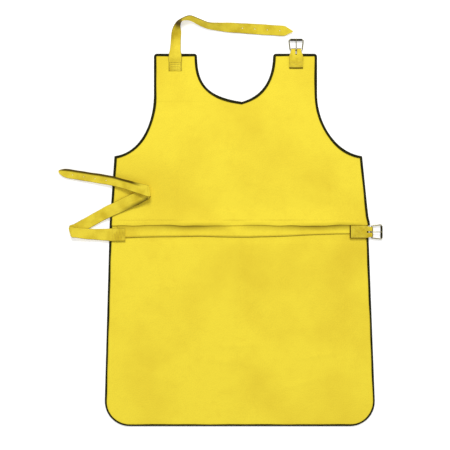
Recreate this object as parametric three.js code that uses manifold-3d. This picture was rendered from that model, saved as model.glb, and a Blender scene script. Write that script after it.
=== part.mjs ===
// Leather welding apron, lying on its back with the front face up.
//
// Units are millimetres, +Z is up and +Y points to the neck. The origin is on the
// underside, at the lower edge of the waist band, and z = 0 is the surface that the
// apron lies on. Every leather part is a thin closed solid; touching parts keep GAP.

import * as THREE from 'three';
import { mergeVertices } from 'three/addons/utils/BufferGeometryUtils.js';
import Module from 'manifold-3d';

const wasm = await Module();
wasm.setup();

// ---- Driving dimensions ------------------------------------------------------

const GAP = 0.3;                  // left between two pieces that touch
const THREAD_GAP = 0.1;           // left between a thread and the leather under it

// Body leather and its edge binding
const LEATHER = 1.5;
const BINDING_LEATHER = 0.7;
const BINDING_WIDTH = 6;
const MARGIN_WIDTH = 14;          // edge strip that is raised into the binding
const MARGIN_OVERLAP = 2;         // where the raised strip joins the flat middle

// Overall outline: each level is a half width and the shift of its centre
const HEM_Y = -456;
const HEM = { half: 327.5, shift: -0.9 };
const HEM_CORNER_RADIUS = 60;
const WAIST = { y: 5, half: 311.5, shift: -3.5 };
const UNDERARM = { y: 195, half: 298.6, shift: -4.9 };
const SHOULDER = { y: 442, half: 196.7, shift: -11.6 };
const SHOULDER_SIDE = 97;         // straight outer side of a shoulder
const SHOULDER_CORNER_RADIUS = 5;
const ARMHOLE_FULLNESS = { top: 70, bottom: 64 };
const NECK = { half: 91.7, shift: -12.6, vX: 4, vY: 326 };
const NECK_FULLNESS = { side: 70, left: 89, right: 44, rise: 13 };
const CURVE_STEPS = 12;

// Waist seam: the skirt's top edge lies under the band, the bib's lower lip over it
const SKIRT_TOP_Y = 14;
const BAND = { bottom: 0, top: 36, endInset: 18 };
const BIB_LIP_Y = 28;
const BIB_RAMP = { from: BAND.top + 1.5, to: BAND.top + 10 };

// Threads, as continuous beads
const THREAD_WIDTH = 0.8;
const THREAD_HEIGHT = 0.3;
const BINDING_SEAM_INSET = 4.6;
const WAIST_SEAM_INSET = 3;

// Straps
const STRAP = 2;
const STRAP_WIDTH = 26;
const SEWN_WIDTH = 31.5;
const HOLE_RADIUS = 2;
const HOLE_SIDES = 12;
const NECK_STRAP_X = -156.9;
const NECK_STRAP_LENGTH_ON_BIB = 42;
const NECK_STRAP_WIDTH = 25;
const NECK_HOLES = [161.9, 191.9, 221.9, 251.9];
const WAIST_STRAP_Y = 5.5;
const WAIST_STRAP_LENGTH_ON_BODY = 38;
const WAIST_HOLE = { count: 4, first: 34, pitch: 27 };

// Buckle, in its own frame: heel bar along y, roller towards +x
const WIRE_RADIUS = 1.5;
const BUCKLE_REACH = 24;
const HEEL_HALF = 14.6;
const FRONT_HALF = 17.4;
const FRAME_CORNER = 2.5;
const ROLLER_RADIUS = 2.6;
const ROLLER_CLEARANCE = 0.4;
const PRONG_RADIUS = 1.1;
const PRONG_EYE = { wall: 1.55, width: 3, clearance: 0.35 };
const PRONG_OVERRUN = 3.2;
const BUCKLE_SIDES = 12;

// Leather tab that holds a buckle: a strip folded round the heel bar
const TAB = 1.8;
const TAB_WIDTH_AT_FOLD = 24;
const TAB_TAPER = { from: 2, to: 15 };
const SLOT = { half: 3, back: 12, front: 5 };
const NECK_TAB = { x: 134.4, width: 33, heelBeyondEdge: 9.2, onBody: 36 };
const WAIST_TAB = { y: 12.2, width: 31, heelBeyondEdge: 8.2, onBody: 44.5 };

// ---- Heights of the layers ---------------------------------------------------

const marginZ = BINDING_LEATHER + GAP;
const bindingTop = marginZ + LEATHER + GAP + BINDING_LEATHER;
const seamTop = bindingTop + THREAD_GAP + THREAD_HEIGHT;
const crossingZ = seamTop + GAP;                 // underside of what crosses the binding
const bandZ = LEATHER + GAP;
const bandTop = bandZ + LEATHER;
const bibLift = bindingTop + GAP;                // the bib's lip lies over the skirt's binding

// ---- Small helpers -----------------------------------------------------------

function leatherMaterial(color, roughness = 0.75) {
  return new THREE.MeshStandardMaterial({ color, roughness, metalness: 0 });
}

function metalMaterial(color, roughness = 0.3) {
  return new THREE.MeshStandardMaterial({ color, roughness, metalness: 1 });
}

const yellow = () => leatherMaterial(0xf4db40);
const strapYellow = () => leatherMaterial(0xc9ab34);
const edging = () => leatherMaterial(0x32320a, 0.6);
const thread = () => leatherMaterial(0xd9bb3c, 0.9);
const nickel = () => metalMaterial(0xb9b6a6);

function mesh(name, geometry, material) {
  const result = new THREE.Mesh(geometry, material);
  result.name = name;
  return result;
}

function solid(geometry) {
  const bare = geometry.index ? geometry.toNonIndexed() : geometry.clone();
  bare.deleteAttribute('normal');
  bare.deleteAttribute('uv');
  const merged = mergeVertices(bare, 1e-4);
  return new wasm.Manifold(new wasm.Mesh({
    numProp: 3,
    vertProperties: merged.attributes.position.array,
    triVerts: new Uint32Array(merged.index.array),
  }));
}

function geometryOf(manifold) {
  const result = manifold.getMesh();
  const geometry = new THREE.BufferGeometry();
  geometry.setAttribute('position', new THREE.BufferAttribute(result.vertProperties, 3));
  geometry.setIndex(new THREE.BufferAttribute(result.triVerts, 1));
  return geometry;
}

function union(solids) {
  return solids.reduce((sum, next) => sum.add(next));
}

// A box given by its lowest and highest corners
function box([x0, y0, z0], [x1, y1, z1]) {
  const geometry = new THREE.BoxGeometry(x1 - x0, y1 - y0, z1 - z0);
  return solid(geometry.translate((x0 + x1) / 2, (y0 + y1) / 2, (z0 + z1) / 2));
}

const FAR = 1000;
const BELOW = -20;
const ABOVE = 40;
const keepAboveY = (y) => box([-FAR, y, BELOW], [FAR, FAR, ABOVE]);
const keepBelowY = (y) => box([-FAR, -FAR, BELOW], [FAR, y, ABOVE]);
const keepBetweenX = (from, to) => box([from, -FAR, BELOW], [to, FAR, ABOVE]);

// ---- Outlines ----------------------------------------------------------------

const corner = (x, y, r = 0) => ({ x, y, r });

function curveCorners(curve) {
  return curve.getPoints(CURVE_STEPS).map((point) => corner(point.x, point.y));
}

// Moves every side of a counter-clockwise outline inwards by `inset`
function insetOutline(corners, inset) {
  return corners.map((here, i) => {
    const before = corners[(i + corners.length - 1) % corners.length];
    const after = corners[(i + 1) % corners.length];
    const normalIn = new THREE.Vector2(before.y - here.y, here.x - before.x).normalize();
    const normalOut = new THREE.Vector2(here.y - after.y, after.x - here.x).normalize();
    const move = normalIn.clone().add(normalOut);
    move.multiplyScalar(inset / (1 + normalIn.dot(normalOut)));
    return corner(here.x + move.x, here.y + move.y, Math.max(here.r - inset, 0));
  });
}

// Turns corners into a shape, with an arc at each corner that has a radius
function roundedShape(corners) {
  const points = [];
  corners.forEach((here, i) => {
    const at = new THREE.Vector2(here.x, here.y);
    if (here.r === 0) {
      points.push(at);
      return;
    }
    const before = corners[(i + corners.length - 1) % corners.length];
    const after = corners[(i + 1) % corners.length];
    const back = new THREE.Vector2(before.x, before.y).sub(at).normalize();
    const ahead = new THREE.Vector2(after.x, after.y).sub(at).normalize();
    const half = Math.acos(back.dot(ahead)) / 2;
    const centre = back.clone().add(ahead).normalize();
    centre.multiplyScalar(here.r / Math.sin(half)).add(at);
    const start = back.clone().multiplyScalar(here.r / Math.tan(half)).add(at).sub(centre);
    const turn = Math.PI - 2 * half;
    const steps = Math.max(2, Math.ceil(turn / (Math.PI / 16)));
    for (let step = 0; step <= steps; step += 1) {
      const spoke = start.clone().rotateAround(new THREE.Vector2(), (turn * step) / steps);
      points.push(spoke.add(centre));
    }
  });
  return new THREE.Shape(points);
}

const side = (level, sign) => level.shift + sign * level.half;

function armhole(sign) {
  const startY = SHOULDER.y - SHOULDER_SIDE;
  return new THREE.CubicBezierCurve(
    new THREE.Vector2(side(SHOULDER, sign), startY),
    new THREE.Vector2(side(SHOULDER, sign), startY - ARMHOLE_FULLNESS.top),
    new THREE.Vector2(side(UNDERARM, sign) - sign * ARMHOLE_FULLNESS.bottom, UNDERARM.y + 8),
    new THREE.Vector2(side(UNDERARM, sign), UNDERARM.y),
  );
}

// Half of the neckline, from a shoulder down to the point of the V
function neckline(sign) {
  const x = side(NECK, sign);
  const sweep = sign < 0 ? NECK_FULLNESS.left : NECK_FULLNESS.right;
  return new THREE.CubicBezierCurve(
    new THREE.Vector2(x, SHOULDER.y),
    new THREE.Vector2(x, SHOULDER.y - NECK_FULLNESS.side),
    new THREE.Vector2(NECK.vX + sign * sweep, NECK.vY + NECK_FULLNESS.rise),
    new THREE.Vector2(NECK.vX, NECK.vY),
  );
}

// The bib runs on below its lower edge, and the skirt above its upper one: both are cut later
const RUN_ON = 80;
const waistSide = (sign) => side(WAIST, sign);

function bibOutline() {
  const upTheRight = curveCorners(armhole(1)).reverse();
  const downTheLeft = curveCorners(armhole(-1));
  const neckRight = curveCorners(neckline(1));
  const neckLeft = curveCorners(neckline(-1)).reverse();
  neckRight[0].r = SHOULDER_CORNER_RADIUS;
  neckLeft[neckLeft.length - 1].r = SHOULDER_CORNER_RADIUS;
  upTheRight[0].r = SHOULDER_CORNER_RADIUS;
  downTheLeft[downTheLeft.length - 1].r = SHOULDER_CORNER_RADIUS;
  return [
    corner(waistSide(-1), WAIST.y - RUN_ON),
    corner(waistSide(1), WAIST.y - RUN_ON),
    corner(waistSide(1), WAIST.y),
    ...upTheRight,
    corner(side(SHOULDER, 1), SHOULDER.y, SHOULDER_CORNER_RADIUS),
    ...neckRight,
    ...neckLeft.slice(1),
    corner(side(SHOULDER, -1), SHOULDER.y, SHOULDER_CORNER_RADIUS),
    ...downTheLeft,
    corner(waistSide(-1), WAIST.y),
  ];
}

function skirtOutline() {
  return [
    corner(side(HEM, -1), HEM_Y, HEM_CORNER_RADIUS),
    corner(side(HEM, 1), HEM_Y, HEM_CORNER_RADIUS),
    corner(waistSide(1), WAIST.y),
    corner(waistSide(1), WAIST.y + RUN_ON),
    corner(waistSide(-1), WAIST.y + RUN_ON),
    corner(waistSide(-1), WAIST.y),
  ];
}

function prism(outline, inset = 0) {
  const shape = roundedShape(insetOutline(outline, inset));
  const geometry = new THREE.ExtrudeGeometry(shape, { depth: ABOVE - BELOW, bevelEnabled: false });
  return solid(geometry.translate(0, 0, BELOW));
}

// Everything between z0 and z1, lifted by liftAt(y) at the heights y in `stations`
function layer(z0, z1, stations, liftAt) {
  const low = stations.map((y) => new THREE.Vector2(y, z0 + liftAt(y)));
  const high = stations.map((y) => new THREE.Vector2(y, z1 + liftAt(y))).reverse();
  const geometry = new THREE.ExtrudeGeometry(
    new THREE.Shape([...low, ...high]),
    { depth: 2 * FAR, bevelEnabled: false },
  );
  const alongX = new THREE.Matrix4().makeBasis(
    new THREE.Vector3(0, 1, 0),
    new THREE.Vector3(0, 0, 1),
    new THREE.Vector3(1, 0, 0),
  );
  return solid(geometry.applyMatrix4(alongX).translate(-FAR, 0, 0));
}

const skirtLayer = (z0, z1) => layer(z0, z1, [-FAR, FAR], () => 0);

function bibLiftAt(y) {
  const share = (BIB_RAMP.to - y) / (BIB_RAMP.to - BIB_RAMP.from);
  return bibLift * THREE.MathUtils.clamp(share, 0, 1);
}

const bibLayer = (z0, z1) => layer(z0, z1, [-FAR, BIB_RAMP.from, BIB_RAMP.to, FAR], bibLiftAt);

// ---- Body panels, binding and its seam ---------------------------------------

// Flat in the middle, with its edge strip raised into the binding
function panel(outline, layerOf) {
  const middle = prism(outline, MARGIN_WIDTH - MARGIN_OVERLAP).intersect(layerOf(0, LEATHER));
  const rim = prism(outline, BINDING_LEATHER + GAP).subtract(prism(outline, MARGIN_WIDTH));
  return middle.add(rim.intersect(layerOf(marginZ, marginZ + LEATHER)));
}

// A strip folded over the edge, open on its inner side
function binding(outline, layerOf) {
  const strip = prism(outline).subtract(prism(outline, BINDING_WIDTH));
  const inside = prism(outline, BINDING_LEATHER);
  const slot = inside.intersect(layerOf(BINDING_LEATHER, bindingTop - BINDING_LEATHER));
  return strip.intersect(layerOf(0, bindingTop)).subtract(slot);
}

function bindingSeam(outline, layerOf) {
  const line = prism(outline, BINDING_SEAM_INSET - THREAD_WIDTH / 2)
    .subtract(prism(outline, BINDING_SEAM_INSET + THREAD_WIDTH / 2));
  const low = bindingTop + THREAD_GAP;
  return line.intersect(layerOf(low, low + THREAD_HEIGHT));
}

function bibPieces() {
  const outline = bibOutline();
  const above = keepAboveY(BIB_LIP_Y);
  const left = above.intersect(keepBetweenX(-FAR, NECK.vX - GAP / 2));
  const right = above.intersect(keepBetweenX(NECK.vX + GAP / 2, FAR));
  const edge = binding(outline, bibLayer);
  const seam = bindingSeam(outline, bibLayer);
  const panelSolid = panel(outline, bibLayer).intersect(above);
  return [
    mesh('bib_panel', geometryOf(panelSolid), yellow()),
    mesh('bib_binding_left', geometryOf(edge.intersect(left)), edging()),
    mesh('bib_binding_right', geometryOf(edge.intersect(right)), edging()),
    mesh('bib_binding_left_stitching', geometryOf(seam.intersect(left)), edging()),
    mesh('bib_binding_right_stitching', geometryOf(seam.intersect(right)), edging()),
  ];
}

function skirtPieces() {
  const outline = skirtOutline();
  const below = keepBelowY(SKIRT_TOP_Y);
  const panelSolid = panel(outline, skirtLayer).intersect(below);
  const edge = binding(outline, skirtLayer).intersect(below);
  const seam = bindingSeam(outline, skirtLayer).intersect(below);
  return [
    mesh('skirt_panel', geometryOf(panelSolid), yellow()),
    mesh('skirt_binding', geometryOf(edge), edging()),
    mesh('skirt_binding_stitching', geometryOf(seam), edging()),
  ];
}

// ---- Waist band and its two seams --------------------------------------------

const bandFrom = side(WAIST, -1) + BAND.endInset;
const bandTo = side(WAIST, 1) - BAND.endInset;

// A bead of thread through the given points, at one height
function threadLine(points, zLow) {
  const pieces = [];
  for (let i = 1; i < points.length; i += 1) {
    const from = new THREE.Vector2(...points[i - 1]);
    const to = new THREE.Vector2(...points[i]);
    const run = to.clone().sub(from);
    const geometry = new THREE.BoxGeometry(run.length() + THREAD_WIDTH, THREAD_WIDTH, THREAD_HEIGHT);
    geometry.rotateZ(run.angle());
    const middle = from.add(to).multiplyScalar(0.5);
    pieces.push(solid(geometry.translate(middle.x, middle.y, zLow + THREAD_HEIGHT / 2)));
  }
  return union(pieces);
}

function waistPieces() {
  const band = box([bandFrom, BAND.bottom, bandZ], [bandTo, BAND.top, bandTop]);
  const lowerY = BAND.bottom + WAIST_SEAM_INSET;
  const upperY = (BIB_LIP_Y + BAND.top) / 2;
  const from = bandFrom + WAIST_SEAM_INSET;
  const to = bandTo - WAIST_SEAM_INSET;
  const lower = threadLine([[from, lowerY], [to, lowerY]], bandTop + THREAD_GAP);
  const upper = threadLine([[from, upperY], [to, upperY]], bibLift + LEATHER + THREAD_GAP);
  return [
    mesh('waist_band', geometryOf(band), yellow()),
    mesh('waist_seam_lower_stitching', geometryOf(lower), thread()),
    mesh('waist_seam_upper_stitching', geometryOf(upper), thread()),
  ];
}

// ---- Straps ------------------------------------------------------------------

// A station of a strap: its middle, the direction from one edge to the other, its width
const station = (at, across, width) => ({
  at: new THREE.Vector3(...at),
  across: new THREE.Vector3(...across).normalize(),
  width,
});

// A closed strip through the stations
function ribbon(stations, stepsPerStation = 2) {
  const middle = new THREE.CatmullRomCurve3(stations.map((s) => s.at), false, 'centripetal');
  const steps = (stations.length - 1) * stepsPerStation;
  const positions = [];
  for (let step = 0; step <= steps; step += 1) {
    const t = step / steps;
    const place = t * (stations.length - 1);
    const before = stations[Math.min(Math.floor(place), stations.length - 2)];
    const after = stations[stations.indexOf(before) + 1];
    const share = place - stations.indexOf(before);
    const across = before.across.clone().lerp(after.across, share).normalize();
    const half = THREE.MathUtils.lerp(before.width, after.width, share) / 2;
    const up = middle.getTangent(t).cross(across).normalize().multiplyScalar(STRAP / 2);
    const centre = middle.getPoint(t);
    for (const [a, b] of [[-1, -1], [1, -1], [1, 1], [-1, 1]]) {
      const point = centre.clone().addScaledVector(across, a * half).addScaledVector(up, b);
      positions.push(point.x, point.y, point.z);
    }
  }
  const index = [0, 2, 1, 0, 3, 2];
  for (let step = 0; step < steps; step += 1) {
    for (let k = 0; k < 4; k += 1) {
      const a = step * 4 + k;
      const b = step * 4 + ((k + 1) % 4);
      index.push(a, b, b + 4, a, b + 4, a + 4);
    }
  }
  const last = steps * 4;
  index.push(last, last + 1, last + 2, last, last + 2, last + 3);
  const geometry = new THREE.BufferGeometry();
  geometry.setAttribute('position', new THREE.Float32BufferAttribute(positions, 3));
  geometry.setIndex(index);
  return solid(geometry);
}

function hole(x, y) {
  const geometry = new THREE.CylinderGeometry(HOLE_RADIUS, HOLE_RADIUS, ABOVE - BELOW, HOLE_SIDES);
  return solid(geometry.rotateX(Math.PI / 2).translate(x, y, (ABOVE + BELOW) / 2));
}

const onBodyZ = LEATHER + GAP + STRAP / 2;
const crossingMiddle = crossingZ + STRAP / 2;

// Neck strap: sewn to the left shoulder, lifted over the binding
const neckHingeY = SHOULDER.y + 4;
const WEST = [-1, 0, 0];
// z is the height of the strap's underside
const fromNeckHinge = (x, y, z) => [NECK_STRAP_X + x, neckHingeY + y, z + STRAP / 2];

function neckSewnEnd() {
  const rampY = SHOULDER.y - MARGIN_WIDTH;
  return ribbon([
    station([NECK_STRAP_X, SHOULDER.y - NECK_STRAP_LENGTH_ON_BIB, onBodyZ], WEST, SEWN_WIDTH),
    station([NECK_STRAP_X, rampY - 6, onBodyZ], WEST, SEWN_WIDTH),
    station([NECK_STRAP_X, rampY + 5, crossingMiddle], WEST, SEWN_WIDTH),
    station([NECK_STRAP_X, SHOULDER.y, crossingMiddle], WEST, SEWN_WIDTH - 1),
    station([NECK_STRAP_X, neckHingeY, crossingMiddle], WEST, SEWN_WIDTH - 3),
  ], 1);
}

// The free part climbs onto its edge, turns east and lies down again
function neckFreeStrap() {
  const w = NECK_STRAP_WIDTH;
  const stations = [
    station([NECK_STRAP_X, neckHingeY + GAP, crossingMiddle], WEST, SEWN_WIDTH - 3.3),
    station(fromNeckHinge(0.5, 8, 3.4), WEST, w + 1.5),
    station(fromNeckHinge(0.9, 20, 1.2), WEST, w),
    station(fromNeckHinge(1.5, 34, 1), [-1, 0, 0.06], w),
    station(fromNeckHinge(3.5, 49, 4.6), [-0.94, 0.06, 0.36], w),
    station(fromNeckHinge(7.4, 62, 8.6), [-0.72, 0.2, 0.68], w),
    station(fromNeckHinge(14.9, 71, 11.6), [-0.36, 0.22, 0.9], w),
    station(fromNeckHinge(25.9, 76.5, 12.6), [-0.02, 0.2, 0.98], w),
    station(fromNeckHinge(39.9, 77.5, 11.9), [0.05, 0.42, 0.9], w),
    station(fromNeckHinge(57.9, 71.5, 11.4), [0.12, 0.5, 0.86], w),
    station(fromNeckHinge(76.9, 63.5, 11.2), [0.16, 0.52, 0.84], w),
    station(fromNeckHinge(102.9, 59.8, 10.2), [0.05, 0.62, 0.78], w),
    station(fromNeckHinge(131.9, 58.3, 6.8), [0.04, 0.86, 0.5], w),
    station(fromNeckHinge(167.9, 56.4, 5.2), [0.05, 0.92, 0.38], w),
    station(fromNeckHinge(208.9, 53.8, 4.2), [0.06, 0.95, 0.3], w),
    station(fromNeckHinge(244.9, 51.6, 3.5), [0.05, 0.97, 0.22], w),
    station(fromNeckHinge(262.9, 50.6, 3.2), [0.04, 0.98, 0.2], w),
    station(fromNeckHinge(283.9, 49.6, 3), [0.04, 0.98, 0.2], 2),
  ];
  const yAt = (x) => neckHingeY + THREE.MathUtils.mapLinear(x, 167.9, 262.9, 56.4, 50.6);
  return NECK_HOLES.reduce(
    (strap, x) => strap.subtract(hole(NECK_STRAP_X + x, yAt(x))),
    ribbon(stations),
  );
}

// A strap folded back round a level line: half a turn of a flat helix
function foldStations({ at, heading, crease, radius, rises, width }) {
  const u = new THREE.Vector3(...crease).normalize();
  const h = new THREE.Vector3(...heading).normalize();
  const outwards = h.clone().addScaledVector(u, -h.dot(u)).normalize();
  const slant = h.dot(u) / h.dot(outwards);
  const alongCrease = width / h.dot(outwards);
  const stations = [];
  for (let degrees = 0; degrees <= 180; degrees += 30) {
    const turn = THREE.MathUtils.degToRad(degrees);
    const point = new THREE.Vector3(...at);
    point.addScaledVector(outwards, radius * Math.sin(turn));
    point.addScaledVector(u, radius * slant * turn);
    point.z += rises * radius * (1 - Math.cos(turn));
    stations.push({ at: point, across: u.clone(), width: alongCrease });
  }
  return stations;
}

const fromWaistEdge = (x, y, z) => [waistSide(-1) + x, WAIST_STRAP_Y + y, z + STRAP / 2];

// Waist strap: west over the binding, folded under, north-east, then folded over
const LEFT_FOLD = {
  at: fromWaistEdge(-91, 6, 8.3), heading: [-1, 0.06, 0], crease: [-0.25, 0.968, 0], radius: 4, rises: -1,
  width: STRAP_WIDTH,
};
const RIGHT_FOLD = {
  at: fromWaistEdge(93, 101.5, 11.6), heading: [0.903, 0.429, 0], crease: [-0.05, 0.999, 0], radius: 4.5,
  rises: 1, width: STRAP_WIDTH,
};
const NORTH = [0, 1, 0];
const ALONG_B = [-0.429, 0.903, 0];
const rightFold = foldStations(RIGHT_FOLD);

function waistStrap() {
  const startX = waistSide(-1) + WAIST_STRAP_LENGTH_ON_BODY;
  const edgeX = waistSide(-1);
  const w = STRAP_WIDTH;
  return ribbon([
    station([startX, WAIST_STRAP_Y, crossingMiddle], NORTH, SEWN_WIDTH),
    station([edgeX + 4, WAIST_STRAP_Y, crossingMiddle], NORTH, SEWN_WIDTH),
    station([edgeX - 6, WAIST_STRAP_Y, crossingMiddle], NORTH, w + 3),
    station(fromWaistEdge(-30, 0.7, 4), NORTH, w),
    station(fromWaistEdge(-60, 2.7, 5.6), NORTH, w),
    station(fromWaistEdge(-81, 5.1, 8), [-0.12, 0.99, 0], w),
    ...foldStations(LEFT_FOLD),
    station(fromWaistEdge(-79, 15, GAP), [-0.38, 0.925, 0], w),
    station(fromWaistEdge(-55, 27.5, GAP + 0.4), ALONG_B, w + 1),
    station(fromWaistEdge(-25, 44, GAP + 3), ALONG_B, w + 2),
    station(fromWaistEdge(-3, 55.5, crossingZ + 0.8), ALONG_B, w + 3),
    station(fromWaistEdge(17, 65.1, crossingZ + 0.6), ALONG_B, w + 3),
    station(fromWaistEdge(43, 77.9, 5.4), ALONG_B, w + 2),
    station(fromWaistEdge(70, 90.5, 8.8), [-0.3, 0.954, 0], w + 1),
    ...rightFold,
  ]);
}

const tailStart = rightFold[rightFold.length - 1];

function waistStrapTail() {
  const w = STRAP_WIDTH - 2;
  const from = tailStart.at.clone().add(new THREE.Vector3(-3 * GAP, GAP, -0.1));
  const stations = [
    { at: from, across: tailStart.across, width: tailStart.width },
    station(fromWaistEdge(79, 108.5, 19.4), [0.12, 0.99, 0.05], w + 2),
    station(fromWaistEdge(53, 116, 14), [0.26, 0.95, 0.15], w),
    station(fromWaistEdge(30, 122.5, 10.2), [0.26, 0.93, 0.25], w),
    station(fromWaistEdge(8, 128.5, 8.6), [0.22, 0.93, 0.3], w),
    station(fromWaistEdge(-20, 133.5, 7.4), [0.16, 0.94, 0.3], w),
    station(fromWaistEdge(-47, 137.7, 6.2), [0.14, 0.94, 0.3], w),
    station(fromWaistEdge(-80, 142.9, 5), [0.14, 0.94, 0.3], w),
    station(fromWaistEdge(-110, 147.7, 4.4), [0.14, 0.94, 0.3], w - 2),
    station(fromWaistEdge(-123, 150.9, 4.4), [0.16, 0.94, 0.3], 5),
  ];
  let strap = ribbon(stations);
  for (let i = 0; i < WAIST_HOLE.count; i += 1) {
    const x = -123 + WAIST_HOLE.first + i * WAIST_HOLE.pitch;
    const y = THREE.MathUtils.mapLinear(x, -110, 8, 147.7, 128.5);
    strap = strap.subtract(hole(waistSide(-1) + x, WAIST_STRAP_Y + y));
  }
  return strap;
}

function strapStitching() {
  const rowPitch = 3;
  const halfRow = SEWN_WIDTH / 2 - 4;
  const neckTop = onBodyZ + STRAP / 2 + THREAD_GAP;
  const neckStart = SHOULDER.y - NECK_STRAP_LENGTH_ON_BIB + 2.5;
  const rows = [];
  for (let row = 0; row < 6; row += 1) {
    const sign = row % 2 === 0 ? 1 : -1;
    const y = neckStart + row * rowPitch;
    rows.push([NECK_STRAP_X - sign * halfRow, y], [NECK_STRAP_X + sign * halfRow, y]);
  }
  const startX = waistSide(-1) + WAIST_STRAP_LENGTH_ON_BODY - 3;
  const zigzag = [];
  for (let k = 0; k < 9; k += 1) {
    const sign = k % 2 === 0 ? 1 : -1;
    zigzag.push([startX - k * 3.6, WAIST_STRAP_Y + sign * (SEWN_WIDTH / 2 - 3)]);
  }
  return [
    mesh('neck_strap_stitching', geometryOf(threadLine(rows, neckTop)), thread()),
    mesh('waist_strap_stitching',
      geometryOf(threadLine(zigzag, crossingZ + STRAP + THREAD_GAP)), thread()),
  ];
}

function strapPieces() {
  return [
    mesh('neck_strap_sewn_end', geometryOf(neckSewnEnd()), strapYellow()),
    mesh('neck_strap', geometryOf(neckFreeStrap()), strapYellow()),
    mesh('waist_strap', geometryOf(waistStrap()), strapYellow()),
    mesh('waist_strap_tail', geometryOf(waistStrapTail()), strapYellow()),
    ...strapStitching(),
  ];
}

// ---- Buckles: built at the heel bar, roller towards +x ------------------------

const foldRadius = WIRE_RADIUS + GAP + TAB / 2;
const heelZ = GAP + foldRadius + TAB / 2;

// A closed loop of wire with rounded corners
function frameSolid() {
  const shape = roundedShape([
    corner(0, -HEEL_HALF, FRAME_CORNER),
    corner(BUCKLE_REACH, -FRONT_HALF, FRAME_CORNER),
    corner(BUCKLE_REACH, FRONT_HALF, FRAME_CORNER),
    corner(0, HEEL_HALF, FRAME_CORNER),
  ]);
  const points = shape.getPoints().map((point) => new THREE.Vector3(point.x, point.y, 0));
  const wire = new THREE.CurvePath();
  points.forEach((point, i) => {
    const next = points[(i + 1) % points.length];
    if (next.distanceTo(point) > 1e-6) {
      wire.add(new THREE.LineCurve3(point, next));
    }
  });
  const route = new THREE.CatmullRomCurve3(wire.getSpacedPoints(100).slice(0, -1), true);
  return solid(new THREE.TubeGeometry(route, 100, WIRE_RADIUS, BUCKLE_SIDES, true));
}

function ringSolid(inner, outer, width, sides) {
  const profile = [
    new THREE.Vector2(inner, -width / 2),
    new THREE.Vector2(outer, -width / 2),
    new THREE.Vector2(outer, width / 2),
    new THREE.Vector2(inner, width / 2),
    new THREE.Vector2(inner, -width / 2),
  ];
  return solid(new THREE.LatheGeometry(profile, sides));
}

function prongSolid() {
  const inner = WIRE_RADIUS + PRONG_EYE.clearance;
  const eye = ringSolid(inner, inner + PRONG_EYE.wall, PRONG_EYE.width, 20);
  const restZ = ROLLER_RADIUS + GAP + PRONG_RADIUS;
  const route = new THREE.LineCurve3(
    new THREE.Vector3(1.4, 0, inner + PRONG_RADIUS),
    new THREE.Vector3(BUCKLE_REACH + PRONG_OVERRUN, 0, restZ + 0.15),
  );
  const section = new THREE.Shape();
  section.absarc(0, 0, PRONG_RADIUS, 0, 2 * Math.PI);
  const rod = new THREE.ExtrudeGeometry(section, { steps: 1, curveSegments: 5, extrudePath: route });
  return eye.add(solid(rod));
}

// The strip's middle line, from the end of its lower leg round the bar to its upper end.
// `dip` is how far the sewn part lies below the part that crosses the binding.
function tabSolid({ width, heelBeyondEdge, onBody }, dip) {
  const low = crossingZ + TAB / 2 - heelZ;
  const high = low + TAB + GAP;
  const dipFrom = -heelBeyondEdge - BINDING_WIDTH - 1;
  const dipTo = -heelBeyondEdge - MARGIN_WIDTH - 6;
  const end = -heelBeyondEdge - onBody;
  const path = [
    [end, low - dip], [dipTo, low - dip], [dipFrom, low], [-7.5, low], [-1.6, -foldRadius + 0.12],
  ];
  for (let degrees = -75; degrees <= 90; degrees += 15) {
    const turn = THREE.MathUtils.degToRad(degrees);
    path.push([foldRadius * Math.cos(turn), foldRadius * Math.sin(turn)]);
  }
  path.push([-7.5, high], [dipFrom, high], [dipTo, high - dip], [end, high - dip]);
  const across = new THREE.ExtrudeGeometry(
    thickened(path, TAB),
    { depth: width, bevelEnabled: false },
  );
  across.rotateX(Math.PI / 2).translate(0, width / 2, 0);
  const plan = new THREE.Shape([
    new THREE.Vector2(end - 1, -width / 2),
    new THREE.Vector2(-TAB_TAPER.to, -width / 2),
    new THREE.Vector2(-TAB_TAPER.from, -TAB_WIDTH_AT_FOLD / 2),
    new THREE.Vector2(BUCKLE_REACH, -TAB_WIDTH_AT_FOLD / 2),
    new THREE.Vector2(BUCKLE_REACH, TAB_WIDTH_AT_FOLD / 2),
    new THREE.Vector2(-TAB_TAPER.from, TAB_WIDTH_AT_FOLD / 2),
    new THREE.Vector2(-TAB_TAPER.to, width / 2),
    new THREE.Vector2(end - 1, width / 2),
  ]);
  const tapered = new THREE.ExtrudeGeometry(plan, { depth: ABOVE - BELOW, bevelEnabled: false });
  const slot = box([-SLOT.back, -SLOT.half, BELOW], [SLOT.front, SLOT.half, ABOVE]);
  return solid(across).intersect(solid(tapered.translate(0, 0, BELOW))).subtract(slot);
}

// A shape of even thickness along an open path
function thickened(path, thickness) {
  const edge = (sign) => path.map(([x, y], i) => {
    const [bx, by] = path[Math.max(i - 1, 0)];
    const [ax, ay] = path[Math.min(i + 1, path.length - 1)];
    const before = new THREE.Vector2(by - y, x - bx).normalize();
    const after = new THREE.Vector2(y - ay, ax - x).normalize();
    const normal = before.clone().add(after).normalize();
    const sharp = i > 0 && i < path.length - 1 ? normal.dot(after) : 1;
    return new THREE.Vector2(x, y).addScaledVector(normal, (sign * thickness) / 2 / sharp);
  });
  return new THREE.Shape([...edge(-1), ...edge(1).reverse()]);
}

// A sewn rectangle with both diagonals, on top of a tab
function tabStitching({ width, heelBeyondEdge, onBody }, reach, dip) {
  const top = crossingZ + 2 * TAB + GAP + THREAD_GAP - dip - heelZ;
  const x0 = -heelBeyondEdge - onBody + 2.5;
  const x1 = x0 + reach;
  const y = width / 2 - 3;
  const outline = [[x0, -y], [x1, -y], [x1, y], [x0, y], [x0, -y], [x1, y], [x1, -y], [x0, y]];
  return threadLine(outline, top);
}

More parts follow.
